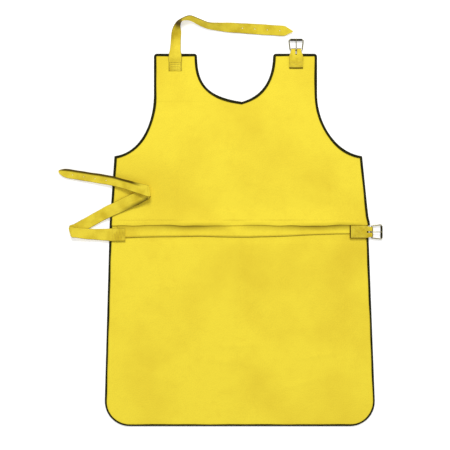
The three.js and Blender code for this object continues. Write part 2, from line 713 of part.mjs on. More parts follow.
function buckle(prefix, tab, reach, dip) {
  const group = new THREE.Group();
  const rollerInner = WIRE_RADIUS + ROLLER_CLEARANCE;
  const rollerLength = 2 * (FRONT_HALF - FRAME_CORNER - GAP);
  const roller = mesh(`${prefix}_buckle_roller`,
    geometryOf(ringSolid(rollerInner, ROLLER_RADIUS, rollerLength, 20)), metalMaterial(0x57523c));
  roller.position.x = BUCKLE_REACH;
  group.add(
    mesh(`${prefix}_buckle_tab`, geometryOf(tabSolid(tab, dip)), strapYellow()),
    mesh(`${prefix}_buckle_tab_stitching`, geometryOf(tabStitching(tab, reach, dip)), thread()),
    mesh(`${prefix}_buckle_frame`, geometryOf(frameSolid()), nickel()),
    mesh(`${prefix}_buckle_prong`, geometryOf(prongSolid()), nickel()),
    roller,
  );
  return group;
}

const neckBuckle = buckle('neck', NECK_TAB, NECK_TAB.onBody - MARGIN_WIDTH - 10,
  crossingZ - LEATHER - GAP);
neckBuckle.position.set(NECK_TAB.x, SHOULDER.y + NECK_TAB.heelBeyondEdge, heelZ);
neckBuckle.rotation.z = Math.PI / 2;

const waistBuckle = buckle('waist', WAIST_TAB, WAIST_TAB.onBody - BINDING_WIDTH - 6, 0);
waistBuckle.position.set(waistSide(1) + WAIST_TAB.heelBeyondEdge, WAIST_TAB.y, heelZ);

// ---- The whole apron ----------------------------------------------------------

const apron = new THREE.Group();
apron.add(...bibPieces(), ...skirtPieces(), ...waistPieces(), ...strapPieces());
apron.add(neckBuckle, waistBuckle);

export default apron;
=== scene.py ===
"""Leather welding apron, lying on its back: panels, binding, straps, tabs, buckles and stitching.

Lengths in the tables below are millimetres in the apron's own frame: +Y to the neck, +Z out of
the front face, origin on the underside at the lower edge of the waist band. MM turns them into metres.
"""

import math
import random
from contextlib import contextmanager

import bmesh
import bpy
import numpy as np
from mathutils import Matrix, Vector


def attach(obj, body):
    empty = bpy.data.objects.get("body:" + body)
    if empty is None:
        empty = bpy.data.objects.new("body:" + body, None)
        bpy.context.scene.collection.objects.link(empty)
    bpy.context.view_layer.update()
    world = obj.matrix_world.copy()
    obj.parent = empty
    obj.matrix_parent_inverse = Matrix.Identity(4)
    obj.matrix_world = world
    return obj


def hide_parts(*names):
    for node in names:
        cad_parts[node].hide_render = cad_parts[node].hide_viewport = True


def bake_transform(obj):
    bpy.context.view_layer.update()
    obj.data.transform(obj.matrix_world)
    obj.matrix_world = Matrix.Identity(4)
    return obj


bl_info = {
    "name": "Leather welding apron",
    "version": (1, 0, 0),
    "blender": (4, 5, 0),
    "location": "View3D > Sidebar > Apron",
    "description": "Builds a bound leather apron with straps and roller buckles",
    "category": "Object",
}

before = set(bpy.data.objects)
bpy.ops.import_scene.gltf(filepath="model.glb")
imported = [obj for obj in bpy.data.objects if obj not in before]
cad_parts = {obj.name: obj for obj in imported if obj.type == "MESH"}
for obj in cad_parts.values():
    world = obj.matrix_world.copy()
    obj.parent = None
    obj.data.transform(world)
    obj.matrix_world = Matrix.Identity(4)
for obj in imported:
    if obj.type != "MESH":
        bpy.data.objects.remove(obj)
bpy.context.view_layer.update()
MM = 0.001

# ---- Sizes of the pattern, in millimetres --------------------------------------

HEM_Y = -456
HEM = {"half": 327.5, "shift": -0.9}
HEM_RADIUS = 60
WAIST = {"y": 5, "half": 311.5, "shift": -3.5}
UNDERARM = {"y": 195, "half": 298.6, "shift": -4.9}
SHOULDER = {"y": 442, "half": 196.7, "shift": -11.6}
SHOULDER_SIDE = 97
SHOULDER_RADIUS = 7
ARMHOLE = {"top": 70, "bottom": 64, "rise": 8}
NECK = {"half": 91.7, "shift": -12.6, "x": 4, "y": 326}
NECK_CURVE = {"side": 70, "left": 89, "right": 44, "rise": 13}
SKIRT_TOP = 31
BIB_LIP = 28
RAMP = (36, 78)
BIB_LIFT = 3.8
BAND = {"top": 36, "z": 1.8, "inset": 18}

BINDING_TOP = 3.5
CROSSING = 5.2
HEEL_Z = 3.9
REACH = 24
HEEL_HALF = 14.6
FRONT_HALF = 17.4
NECK_BUCKLE = (134.4, 451.2)
WAIST_BUCKLE = (316.2, 12.2)
NECK_STRAP_X = -156.9
WAIST_STRAP_Y = 5.5


# ---- Settings that a user would change ------------------------------------------


def length_property(label, text, value):
    return bpy.props.FloatProperty(name=label, description=text, default=value, unit="LENGTH")


class ApronSizes(bpy.types.PropertyGroup):
    """Sizes of the leather, the stitches and the panel mesh"""

    leather: length_property("Leather", "Thickness of the body leather", 0.0015)
    strap: length_property("Strap", "Thickness of the strap leather", 0.002)
    stitch_pitch: length_property("Stitch pitch", "Distance from one stitch to the next", 0.0032)
    stitch_length: length_property("Stitch length", "Visible length of one stitch", 0.0024)
    thread_radius: length_property("Thread radius", "Radius of the sewing thread", 0.0004)
    grid: length_property("Grid", "Spacing of the panel mesh", 0.005)


def colour_property(label, text, value):
    return bpy.props.FloatVectorProperty(
        name=label, description=text, default=value, subtype="COLOR", size=3, min=0, max=1
    )


class ApronColours(bpy.types.PropertyGroup):
    """Colours of the leathers, threads and metal, as linear values"""

    body: colour_property("Body leather", "Dyed body leather", (0.92, 0.737, 0.049))
    body_dark: colour_property("Body leather, worn", "Darker patches of the body", (0.765, 0.565, 0.034))
    strap: colour_property("Strap leather", "Dyed strap leather", (0.835, 0.662, 0.048))
    strap_dark: colour_property("Strap leather, worn", "Darker patches of the straps", (0.56, 0.40, 0.016))
    binding: colour_property("Binding", "Dark edge binding", (0.014, 0.014, 0.0015))
    # The cut edge colour is also the colour of the painted shade on the straps and of the painted shadow on
    # the waist band.
    cut_edge: colour_property("Cut edge", "Raw cut edge of the straps", (0.055, 0.028, 0.002))
    thread: colour_property("Thread", "Sewing thread on the straps", (0.26, 0.17, 0.01))
    seam_thread: colour_property("Seam thread", "Sewing thread of the waist seams", (0.72, 0.52, 0.02))
    tab_thread: colour_property("Tab thread", "Sewing thread on the tabs", (0.86, 0.68, 0.06))
    nickel: colour_property("Nickel", "Plating of the buckle wire", (0.34, 0.31, 0.17))
    roller: colour_property("Roller", "Darkened roller tube", (0.035, 0.03, 0.008))


# ---- Shader groups and materials -------------------------------------------------


def times(colour, factor):
    return tuple(factor * channel for channel in colour)


def add_sockets(group, direction, sockets):
    """Adds sockets given as (name, kind) or (name, kind, default value)"""
    for name, kind, *value in sockets:
        item = group.interface.new_socket(name=name, in_out=direction, socket_type=f"NodeSocket{kind}")
        if value:
            item.default_value = value[0]


class Wiring:
    """Adds nodes to one tree; an input takes a plain value or another node's output"""

    def __init__(self, tree):
        self.nodes, self.links = tree.nodes, tree.links

    def fill(self, inputs, values):
        for key, value in values.items():
            if isinstance(value, bpy.types.NodeSocket):
                self.links.new(value, inputs[key])
            else:
                inputs[key].default_value = value

    def add(self, kind, values=None, **settings):
        node = self.nodes.new(kind)
        for name, value in settings.items():
            setattr(node, name, value)
        self.fill(node.inputs, values or {})
        return node

    def coordinates(self):
        return self.add("ShaderNodeTexCoord").outputs["Object"]

    def noise(self, vector, scale, detail, distortion=0.0):
        values = {"Vector": vector, "Scale": scale, "Detail": detail, "Distortion": distortion}
        return self.add("ShaderNodeTexNoise", values).outputs["Fac"]

    def math(self, operation, a, b):
        return self.add("ShaderNodeMath", {0: a, 1: b}, operation=operation).outputs[0]

    def spread(self, value, low, high):
        """Stretches a noise value from low..high to 0..1"""
        values = {"Value": value, "From Min": low, "From Max": high}
        return self.add("ShaderNodeMapRange", values).outputs["Result"]

    def mix(self, factor, a, b):
        return self.add("ShaderNodeMix", {0: factor, 6: a, 7: b}, data_type="RGBA").outputs[2]

    def bump(self, height, strength, distance):
        values = {"Height": height, "Strength": strength, "Distance": distance}
        return self.add("ShaderNodeBump", values).outputs["Normal"]


def leather_group():
    """Mottled dye, small scuffs and a fine grain"""
    name = "dyed_leather"
    if name in bpy.data.node_groups:
        return bpy.data.node_groups[name]
    group = bpy.data.node_groups.new(name, "ShaderNodeTree")
    add_sockets(group, "INPUT", (
        ("Dye", "Color"), ("Worn dye", "Color"), ("Patch scale", "Float", 9.0),
        ("Patch strength", "Float", 0.5), ("Grain scale", "Float", 900.0), ("Roughness low", "Float", 0.6),
    ))
    add_sockets(group, "OUTPUT", (("Colour", "Color"), ("Roughness", "Float"), ("Height", "Float")))
    tree = Wiring(group)
    given = tree.add("NodeGroupInput").outputs
    coords = tree.coordinates()

    patches = tree.spread(tree.noise(coords, given["Patch scale"], 4), 0.42, 0.72)
    amount = tree.math("MULTIPLY", patches, given["Patch strength"])
    colour = tree.mix(amount, given["Dye"], given["Worn dye"])
    blotch = tree.spread(tree.noise(coords, 55, 5, 0.4), 0.5, 0.8)
    colour = tree.mix(tree.math("MULTIPLY", blotch, 0.22), colour, given["Worn dye"])
    fleck = tree.spread(tree.noise(coords, 420, 4), 0.35, 0.75)
    tint = tree.add("ShaderNodeMapRange", {"Value": fleck, "To Min": 1.04, "To Max": 0.93})
    values = {0: colour, "Scale": tint.outputs["Result"]}
    shade = tree.add("ShaderNodeVectorMath", values, operation="SCALE")

    values = {"Vector": coords, "Scale": given["Grain scale"], "Detail": 1}
    pores = tree.add("ShaderNodeTexVoronoi", values).outputs["Distance"]
    nap = tree.math("MULTIPLY", tree.noise(coords, 1600, 3), 0.5)
    height = tree.math("ADD", tree.math("MULTIPLY", pores, 0.6), nap)
    soft = tree.math("MULTIPLY", tree.noise(coords, 120, 3), 1.2)
    rough = tree.math("ADD", tree.math("MULTIPLY", fleck, 0.16), given["Roughness low"])
    tree.add("NodeGroupOutput", {"Colour": shade.outputs[0], "Roughness": rough,
                                 "Height": tree.math("ADD", height, soft)})
    return group


MATERIALS = {}


def new_material(name):
    """A material with its wiring and its shader's inputs"""
    if name in bpy.data.materials:
        raise ValueError(f"a material called {name} is already there")
    material = bpy.data.materials.new(name)
    MATERIALS[name] = material
    material.use_nodes = True
    shader = material.node_tree.nodes["Principled BSDF"]
    return material, Wiring(material.node_tree), shader.inputs


def leather(name, dye, worn, patch=9.0, strength=0.5, grain=900.0, rough=0.6, bump=0.25, edge_and_shade=None):
    """A dyed leather; an edge colour, given last, is mixed in on pieces that carry a per-point edge
    attribute: the cut edge's own colour, also used for painted shade
    """
    if name in MATERIALS:
        return MATERIALS[name]
    material, tree, shader = new_material(name)
    values = {"Dye": (*dye, 1), "Worn dye": (*worn, 1), "Patch scale": patch, "Patch strength": strength,
              "Grain scale": grain, "Roughness low": rough}
    skin = tree.add("ShaderNodeGroup", values, node_tree=leather_group()).outputs
    colour = skin["Colour"]
    if edge_and_shade is not None:
        edge = tree.add("ShaderNodeAttribute", attribute_name="edge_and_shade")
        colour = tree.mix(edge.outputs["Fac"], colour, (*edge_and_shade, 1))
    tree.fill(shader, {"Base Color": colour, "Roughness": skin["Roughness"],
                       "Normal": tree.bump(skin["Height"], bump, 0.0004), "Specular IOR Level": 0.05})
    return material


def metal(name, colour, rough, tarnish=0.35):
    """A plated or darkened metal with dull spots"""
    if name in MATERIALS:
        return MATERIALS[name]
    material, tree, shader = new_material(name)
    spots = tree.spread(tree.noise(tree.coordinates(), 260, 4), 0.45, 0.75)
    amount = tree.math("MULTIPLY", spots, tarnish)
    tree.fill(shader, {
        "Base Color": tree.mix(amount, (*colour, 1), (*times(colour, 0.45), 1)),
        "Roughness": tree.math("ADD", tree.math("MULTIPLY", spots, 0.2), rough),
        "Normal": tree.bump(spots, 0.08, 0.0002),
        "Metallic": 1.0,
    })
    return material


def thread_material(name, colour):
    """A matt twisted thread"""
    if name in MATERIALS:
        return MATERIALS[name]
    material, tree, shader = new_material(name)
    twist = tree.spread(tree.noise(tree.coordinates(), 1800, 2), 0.3, 0.7)
    tree.fill(shader, {"Base Color": tree.mix(twist, (*colour, 1), (*times(colour, 0.6), 1)),
                       "Roughness": 0.85})
    return material


def body_leather(context, banded=False):
    c = context.scene.apron_colours
    if banded:
        # The band's edge colour paints its lower edge line and the painted shadow under the bib's lip.
        return leather("band_hide", c.body, c.body_dark, patch=9.0, strength=0.8, rough=0.66, bump=0.3,
                       edge_and_shade=times(c.cut_edge, 1.8))
    return leather("apron_hide", c.body, c.body_dark, patch=5.5, strength=0.75, rough=0.66, bump=0.3)


def strap_leather(context):
    c = context.scene.apron_colours
    return leather("strap_hide", c.strap, c.strap_dark, patch=32.0, strength=0.85, rough=0.5,
                   bump=0.35, edge_and_shade=c.cut_edge)


# ---- Mesh helpers ---------------------------------------------------------------


def mesh_object(name, points, faces, material, edge_and_shade=None, smooth=True):
    """A mesh from points in millimetres"""
    data = bpy.data.meshes.new(name)
    data.from_pydata([tuple(MM * value for value in point) for point in points], [], faces)
    data.validate()
    data.materials.append(material)
    # Per-point share of the edge colour: cut edges, and painted shade on some pieces
    if edge_and_shade is not None:
        layer = data.attributes.new("edge_and_shade", "FLOAT", "POINT")
        layer.data.foreach_set("value", np.asarray(edge_and_shade, dtype=np.float32))
    if smooth:
        data.polygons.foreach_set("use_smooth", [True] * len(data.polygons))
    obj = bpy.data.objects.new(name, data)
    bpy.context.scene.collection.objects.link(obj)
    return obj


def apply_modifiers(obj):
    graph = bpy.context.evaluated_depsgraph_get()
    result = bpy.data.meshes.new_from_object(obj.evaluated_get(graph), depsgraph=graph)
    obj.modifiers.clear()
    obj.data = result
    return obj


def bezier(p0, p1, p2, p3, steps=20):
    t = np.linspace(0, 1, steps + 1)[:, None]
    p0, p1, p2, p3 = (np.array(p, float) for p in (p0, p1, p2, p3))
    return (1 - t) ** 3 * p0 + 3 * (1 - t) ** 2 * t * p1 + 3 * (1 - t) * t**2 * p2 + t**3 * p3


def side(level, sign):
    return level["shift"] + sign * level["half"]


def armhole(sign):
    """From the shoulder's side down to the underarm corner"""
    top = SHOULDER["y"] - SHOULDER_SIDE
    x, corner = side(SHOULDER, sign), side(UNDERARM, sign)
    low = (corner - sign * ARMHOLE["bottom"], UNDERARM["y"] + ARMHOLE["rise"])
    return bezier((x, top), (x, top - ARMHOLE["top"]), low, (corner, UNDERARM["y"]))


def neckline(sign):
    """From a shoulder down to the point of the V"""
    x = side(NECK, sign)
    sweep = NECK_CURVE["left"] if sign < 0 else NECK_CURVE["right"]
    low = (NECK["x"] + sign * sweep, NECK["y"] + NECK_CURVE["rise"])
    return bezier((x, SHOULDER["y"]), (x, SHOULDER["y"] - NECK_CURVE["side"]), low, (NECK["x"], NECK["y"]))


def rounded(points):
    """Puts an arc at each corner given as (x, y, radius)"""
    result = []
    for i, (x, y, radius) in enumerate(points):
        at = np.array([x, y], float)
        if radius == 0 or i in (0, len(points) - 1):
            result.append(at)
            continue
        back = np.array(points[i - 1][:2]) - at
        ahead = np.array(points[i + 1][:2]) - at
        back, ahead = back / np.linalg.norm(back), ahead / np.linalg.norm(ahead)
        half = math.acos(float(np.clip(back @ ahead, -1, 1))) / 2
        centre = at + (back + ahead) / np.linalg.norm(back + ahead) * radius / math.sin(half)
        start = at + back * radius / math.tan(half) - centre
        turn = math.pi - 2 * half
        sign = 1 if back[0] * ahead[1] - back[1] * ahead[0] < 0 else -1
        steps = max(4, int(turn / 0.12))
        for step in range(steps + 1):
            a = sign * turn * step / steps
            spin = np.array([[math.cos(a), -math.sin(a)], [math.sin(a), math.cos(a)]])
            result.append(centre + spin @ start)
    return np.array(result)


def plain(points):
    return [(x, y, 0) for x, y in points]


def resampled(path, spacing):
    """Even points along an open path"""
    path = np.asarray(path, float)
    length = np.concatenate([[0], np.cumsum(np.linalg.norm(np.diff(path, axis=0), axis=1))])
    keep = np.concatenate([[True], np.diff(length) > 1e-9])
    count = max(2, int(length[-1] / spacing) + 1)
    at = np.linspace(0, length[-1], count)
    return np.stack([np.interp(at, length[keep], path[keep, k]) for k in range(path.shape[1])], axis=1)


KINK = {"top": 54, "length": 24, "out": 4.2}
KINK_ROWS = (28, 31, 34, 38, 42, 46, 50, 54)


def kink(x, y):
    """The bib's right edge swings out just above the waist"""
    share = np.clip((KINK["top"] - y) / KINK["length"], 0, 1)
    return x + KINK["out"] * share * share * (3 - 2 * share) * (x > 0) * (y >= BIB_LIP - 1)


def edge_path(which):
    """The outer edge, counter-clockwise round the apron, as an open path"""
    if which == "skirt":
        return rounded([(side(WAIST, -1), SKIRT_TOP, 0), (side(HEM, -1), HEM_Y, HEM_RADIUS),
                        (side(HEM, 1), HEM_Y, HEM_RADIUS), (side(WAIST, 1), SKIRT_TOP, 0)])
    sign = 1 if which == "bib_right" else -1
    curve = neckline(sign)
    neck = (*curve[0], SHOULDER_RADIUS)
    shoulder = (side(SHOULDER, sign), SHOULDER["y"], SHOULDER_RADIUS)
    if sign > 0:
        low = [(float(kink(side(WAIST, 1), y)), y, 0) for y in KINK_ROWS]
        return rounded([*low, *plain(armhole(1)[::-1]), shoulder, neck, *plain(curve[1:])])
    low = (side(WAIST, -1), BIB_LIP, 0)
    return rounded([*plain(curve[:0:-1]), neck, shoulder, *plain(armhole(-1)), low])


def inward(path):
    """Unit normals to the left of an open path, sharpened at its corners"""
    steps = np.diff(path, axis=0)
    steps /= np.linalg.norm(steps, axis=1)[:, None]
    before = np.vstack([steps[:1], steps])
    after = np.vstack([steps, steps[-1:]])
    normal = np.stack([-(before + after)[:, 1], (before + after)[:, 0]], axis=1)
    normal /= np.linalg.norm(normal, axis=1)[:, None]
    left = np.stack([-after[:, 1], after[:, 0]], axis=1)
    return normal / np.clip(np.sum(normal * left, axis=1), 0.5, 1)[:, None]


def strip_share(path):
    """The binding is narrower towards the hem and wanders a little"""
    i = np.arange(len(path))
    return 0.72 + 0.3 * np.clip((path[:, 1] + 440) / 700, 0, 1) + 0.09 * np.sin(i / 9) * np.sin(i / 23)


def mitred(path, seam):
    """Inward normals, with the end at `seam` cut along the apron's middle line"""
    normal = inward(path)
    if seam is not None:
        normal[seam] = (0, -1 / max(0.5, -normal[seam][1]))
    return normal


def sweep(name, path, normal, lift, profile, material):
    """Sweeps a closed profile of (inwards, height) along an edge"""
    count = len(profile)
    points = []
    for (x, y), (nx, ny), z, wide in zip(path, normal, lift, strip_share(path)):
        points += [(x + nx * u * (wide if u > 2 else 1), y + ny * u * (wide if u > 2 else 1), z + h)
                   for u, h in profile]
    faces = ring_faces(len(path), count) + end_caps(len(path), count)
    return outward(mesh_object(name, points, faces, material))


@contextmanager
def editing(mesh):
    """An editable copy of a mesh, written back at the end"""
    work = bmesh.new()
    work.from_mesh(mesh)
    yield work
    work.to_mesh(mesh)
    work.free()


def outward(obj):
    """Merges doubles and turns every face outwards"""
    with editing(obj.data) as work:
        bmesh.ops.remove_doubles(work, verts=work.verts, dist=1e-7)
        bmesh.ops.recalc_face_normals(work, faces=work.faces)
    return obj


def ring_faces(rings, sides, closed=False):
    """Quads between rings of `sides` points; closed joins the last ring to the first"""
    faces = []
    for i in range(rings if closed else rings - 1):
        here, there = i * sides, (i + 1) % rings * sides
        for k in range(sides):
            after = (k + 1) % sides
            faces.append((here + k, here + after, there + after, there + k))
    return faces


def end_caps(rings, sides):
    return [tuple(range(sides))[::-1], tuple(range((rings - 1) * sides, rings * sides))]


def bib_lift(y):
    share = (RAMP[1] - y) / (RAMP[1] - RAMP[0])
    share = np.clip(share, 0, 1)
    return BIB_LIFT * share * share * (3 - 2 * share)


# ---- Stitches, by geometry nodes --------------------------------------------------


def stitch_tree():
    """Lays short stitches along the edges of a mesh"""
    name = "stitch_row"
    if name in bpy.data.node_groups:
        return bpy.data.node_groups[name]
    group = bpy.data.node_groups.new(name, "GeometryNodeTree")
    add_sockets(group, "INPUT", (
        ("Geometry", "Geometry"), ("Pitch", "Float", 0.0032), ("Length", "Float", 0.0024),
        ("Radius", "Float", 0.0004), ("Thread", "Material"),
    ))
    add_sockets(group, "OUTPUT", (("Geometry", "Geometry"),))
    tree = Wiring(group)
    given = tree.add("NodeGroupInput").outputs

    def step(kind, values=None, **settings):
        return tree.add(kind, values, **settings).outputs[0]

    curve = step("GeometryNodeMeshToCurve", {0: given["Geometry"]})
    even = step("GeometryNodeResampleCurve", {"Curve": curve, "Length": given["Pitch"]}, mode="LENGTH")
    grain = step("GeometryNodeMeshUVSphere", {"Segments": 6, "Rings": 4, "Radius": 1.0})
    half = tree.math("MULTIPLY", given["Length"], 0.5)
    size = step("ShaderNodeCombineXYZ", {0: half, 1: given["Radius"], 2: given["Radius"]})
    shape = step("GeometryNodeTransform", {"Geometry": grain, "Scale": size})
    turn = step("FunctionNodeAlignRotationToVector", {"Vector": step("GeometryNodeInputTangent")}, axis="X")
    place = step("GeometryNodeInstanceOnPoints", {"Points": even, "Instance": shape, "Rotation": turn})
    real = step("GeometryNodeRealizeInstances", {0: place})
    paint = step("GeometryNodeSetMaterial", {"Geometry": real, "Material": given["Thread"]})
    tree.add("NodeGroupOutput", {0: paint})
    return group


def stitches(context, name, runs, material, thick=1.0):
    """One mesh of stitches along each run of points, in millimetres"""
    sizes = context.scene.apron_sizes
    points, edges = [], []
    for run in runs:
        first = len(points)
        points += [tuple(MM * float(value) for value in point) for point in run]
        edges += [(i, i + 1) for i in range(first, len(points) - 1)]
    data = bpy.data.meshes.new(name)
    data.from_pydata(points, edges, [])
    obj = bpy.data.objects.new(name, data)
    context.scene.collection.objects.link(obj)
    modifier = obj.modifiers.new("stitch_row", "NODES")
    tree = stitch_tree()
    values = {"Pitch": sizes.stitch_pitch, "Length": sizes.stitch_length * (1 + 0.25 * (thick - 1)),
              "Radius": sizes.thread_radius * thick, "Thread": material}
    modifier.node_group = tree
    for item in tree.interface.items_tree:
        if item.in_out == "INPUT" and item.name in values:
            modifier[item.identifier] = values[item.name]
    apply_modifiers(obj)
    obj.data.materials.clear()
    obj.data.materials.append(material)
    obj.data.polygons.foreach_set("material_index", [0] * len(obj.data.polygons))
    obj.data.polygons.foreach_set("use_smooth", [True] * len(obj.data.polygons))
    return obj


# ---- Panels ---------------------------------------------------------------------

PANEL_TUCK = 2.0
MARGIN = 14
# The relief fades within this distance of an edge
FADE = 30
# Upper face of a panel that lies on the table
PANEL_TOP = 1.5
# The skirt is flat from here up, under the band
FLAT_ABOVE = -14


def relief(x, y):
    """Soft waves and a few creases of leather that has been folded away, in millimetres"""
    wave = 0.45 * np.sin(x / 71 + 1.1) * np.sin(y / 93 + 0.4)
    wave += 0.25 * np.sin(x / 33 - y / 57) + 0.18 * np.sin(x / 19 + y / 31 + 2)
    middle = -0.95 * np.exp(-(((x + 1 + 3 * np.sin(y / 60)) / 4.5) ** 2)) * (y < 20)
    creases = np.zeros_like(x)
    for cx, cy, long, wide, high, slope in (
        (0, -262, 46, 5, 0.7, 0.05), (-40, -300, 50, 7, 0.5, -0.1), (190, -285, 38, 5, 0.8, 0.12),
        (222, -250, 9, 34, 0.5, 0.0), (150, -352, 52, 6, 0.5, 0.3), (-170, -120, 60, 9, 0.4, 0.1),
        (90, 120, 70, 12, 0.5, -0.2), (-60, 210, 60, 14, 0.45, 0.25), (205, 60, 40, 8, 0.4, 0.2),
        (-215, -330, 40, 8, 0.4, -0.3), (250, -120, 12, 60, 0.4, 0.0),
    ):
        dx, dy = x - cx, y - cy - slope * (x - cx)
        creases += 1.6 * high * np.exp(-((dx / long) ** 2) - (dy / wide) ** 2)
    return 0.9 + wave + middle + creases


def settle(x, y, left, right):
    """The relief dies out towards the bound edges, where the leather rises into the binding"""
    near = np.minimum(x - left, right - x)
    edge = np.clip(near / FADE, 0, 1)
    rise = 1.0 * np.clip(1 - near / MARGIN, 0, 1)
    return np.maximum(relief(x, y), 0) * edge + rise + PANEL_TOP


def raised_end(z, share):
    """Blends a row of heights into the raised edge; share is 0 at the edge itself"""
    return PANEL_TOP + (z - PANEL_TOP) * share + (1 - share) * 1.0


def grid_faces(rows, columns, first=0):
    return [(first + r * columns + c, first + r * columns + c + 1,
             first + (r + 1) * columns + c + 1, first + (r + 1) * columns + c)
            for r in range(rows - 1) for c in range(columns - 1)]


def thick(obj, thickness):
    """Gives a single sheet its wall, below its upper face"""
    wall = obj.modifiers.new("wall", "SOLIDIFY")
    wall.thickness = thickness
    wall.offset = -1
    apply_modifiers(obj)
    return obj


def lip_wave(x):
    """How far the bib's loose lower lip wanders and lifts; it is caught flat at the middle"""
    caught = np.exp(-(((x + 10) / 26) ** 2))
    wander = 0.9 * np.sin(x / 37 + 0.6) + 0.6 * np.sin(x / 17) + 0.4 * np.sin(x / 9.3 + 1)
    lifted = 1.3 + 1.1 * np.sin(x / 52 + 2.2) + 0.4 * np.sin(x / 21)
    loose = np.exp(-(((x + 125) / 60) ** 2)) + np.exp(-(((x - 185) / 85) ** 2))
    return wander * (1 - caught), (lifted + 1.6 * loose) * (1 - caught)


def skirt_sheet(context):
    """One grid, narrower towards the waist and rounded at the hem's corners"""
    spacing = context.scene.apron_sizes.grid / MM
    ys = np.arange(HEM_Y + PANEL_TUCK, SKIRT_TOP + spacing, spacing)
    ys[-1] = SKIRT_TOP
    corner_y = HEM_Y + HEM_RADIUS
    columns = int(2 * WAIST["half"] / spacing)
    points = []
    for y in ys:
        share = (y - HEM_Y) / (WAIST["y"] - HEM_Y)
        half = HEM["half"] + (WAIST["half"] - HEM["half"]) * share - PANEL_TUCK
        shift = HEM["shift"] + (WAIST["shift"] - HEM["shift"]) * share
        if y < corner_y:
            fall = (corner_y - y) / HEM_RADIUS
            half -= HEM_RADIUS * (1 - math.sqrt(max(0, 1 - fall * fall)))
        x = np.linspace(shift - half, shift + half, columns)
        z = raised_end(settle(x, y, x[0], x[-1]), np.clip((y - HEM_Y) / FADE, 0, 1))
        if y > FLAT_ABOVE:
            z = z * 0 + PANEL_TOP
        points += [(float(a), float(y), float(b)) for a, b in zip(x, z)]
    obj = mesh_object("skirt_panel_leather", points, grid_faces(len(ys), columns), body_leather(context))
    return thick(obj, context.scene.apron_sizes.leather)


def bib_sheet(context):
    """Two halves that share a middle line up to the V, and part above it"""
    spacing = context.scene.apron_sizes.grid / MM
    regular = np.arange(BIB_LIP + 20, SHOULDER["y"] - PANEL_TUCK, spacing)
    lip_rows = np.array([0, 0.6, 1.4, 2.6, 4.2, 6.2, 8.6, 11.5, 15]) + BIB_LIP
    curves = [armhole(-1), armhole(1), neckline(-1), neckline(1)]
    marks = np.concatenate([curve[:, 1] for curve in curves])
    ys = np.concatenate([lip_rows, regular, marks[marks < SHOULDER["y"] - 3], [SHOULDER["y"] - PANEL_TUCK]])
    ys = np.unique(np.round(ys, 1))
    ys = ys[np.concatenate([[True], np.diff(ys) > 0.25])]

    def boundary(sign):
        outer = armhole(sign)[::-1]
        y = np.concatenate([[BIB_LIP], outer[:, 1], [SHOULDER["y"]]])
        x = np.concatenate([[side(WAIST, sign)], outer[:, 0], [side(SHOULDER, sign)]])
        return np.interp(ys, y, x) - sign * PANEL_TUCK

    def inner(sign):
        curve = neckline(sign)[::-1]
        x = np.interp(ys, curve[:, 1], curve[:, 0])
        return np.where(ys > NECK["y"], x + sign * PANEL_TUCK, NECK["x"])

    left, right = boundary(-1), kink(boundary(1), ys)
    inner_left, inner_right = inner(-1), inner(1)
    columns = int(WAIST["half"] / spacing)
    points, faces = [], []
    for low, high in ((left, inner_left), (inner_right, right)):
        first = len(points)
        for i, y in enumerate(ys):
            x = np.linspace(low[i], high[i], columns)
            if y > NECK["y"]:
                z = settle(x, y, low[i], high[i])
            else:
                z = settle(x, y, left[i], right[i])
                if y > NECK["y"] - 25:
                    z -= (relief(x, y) - 0.4) * 0.5
            z = raised_end(z, np.clip((SHOULDER["y"] - y) / FADE, 0, 1))
            wander, lifted = lip_wave(x)
            near = np.minimum(x - left[i], right[i] - x)
            lifted = lifted * np.clip((near - 6) / 36, 0, 1)
            wander = wander * np.clip(near / FADE, 0, 1)
            inside = (y - BIB_LIP) / 15
            if inside <= 1.01:
                roll = math.sin(math.pi * min(inside / 0.55, 1) / 2)
                fade = 0.5 + 0.5 * math.cos(math.pi * min(max((inside - 0.4) / 0.6, 0), 1))
                z = BIB_LIFT + PANEL_TOP + lifted * roll * fade + 0.25 * (1 - fade)
                y_here = y + wander * fade
            else:
                lift = float(bib_lift(y))
                weight = min(1, lift / BIB_LIFT)
                z = (BIB_LIFT + 1.75) * weight + z * (1 - weight)
                y_here = np.full_like(x, y)
            y_here = np.broadcast_to(y_here, x.shape)
            z = np.broadcast_to(z, x.shape)
            points += [(float(a), float(b), float(c)) for a, b, c in zip(x, y_here, z)]
        faces += grid_faces(len(ys), columns, first)
    obj = mesh_object("bib_panel_leather", points, faces, body_leather(context))
    joint = int(np.searchsorted(ys, NECK["y"] + 0.01))
    weld_halves(obj, len(ys), columns, joint)
    return thick(obj, context.scene.apron_sizes.leather)


def weld_halves(obj, rows, columns, joint):
    """Joins the two halves along their shared middle line, up to row `joint`"""
    with editing(obj.data) as work:
        work.verts.ensure_lookup_table()
        targets = {}
        for row in range(joint):
            keep = work.verts[row * columns + columns - 1]
            targets[work.verts[rows * columns + row * columns]] = keep
        bmesh.ops.weld_verts(work, targetmap=targets)


def band_edge(x):
    """The band's lower edge wanders, and climbs towards the right"""
    places = (-297, -273, -184, -97, 23, 130, 200, 233, 290)
    heights = (-2.2, -2.0, 0.5, 1.2, -1.0, 2.9, 6.0, 7.6, 7.8)
    return np.interp(x, places, heights)


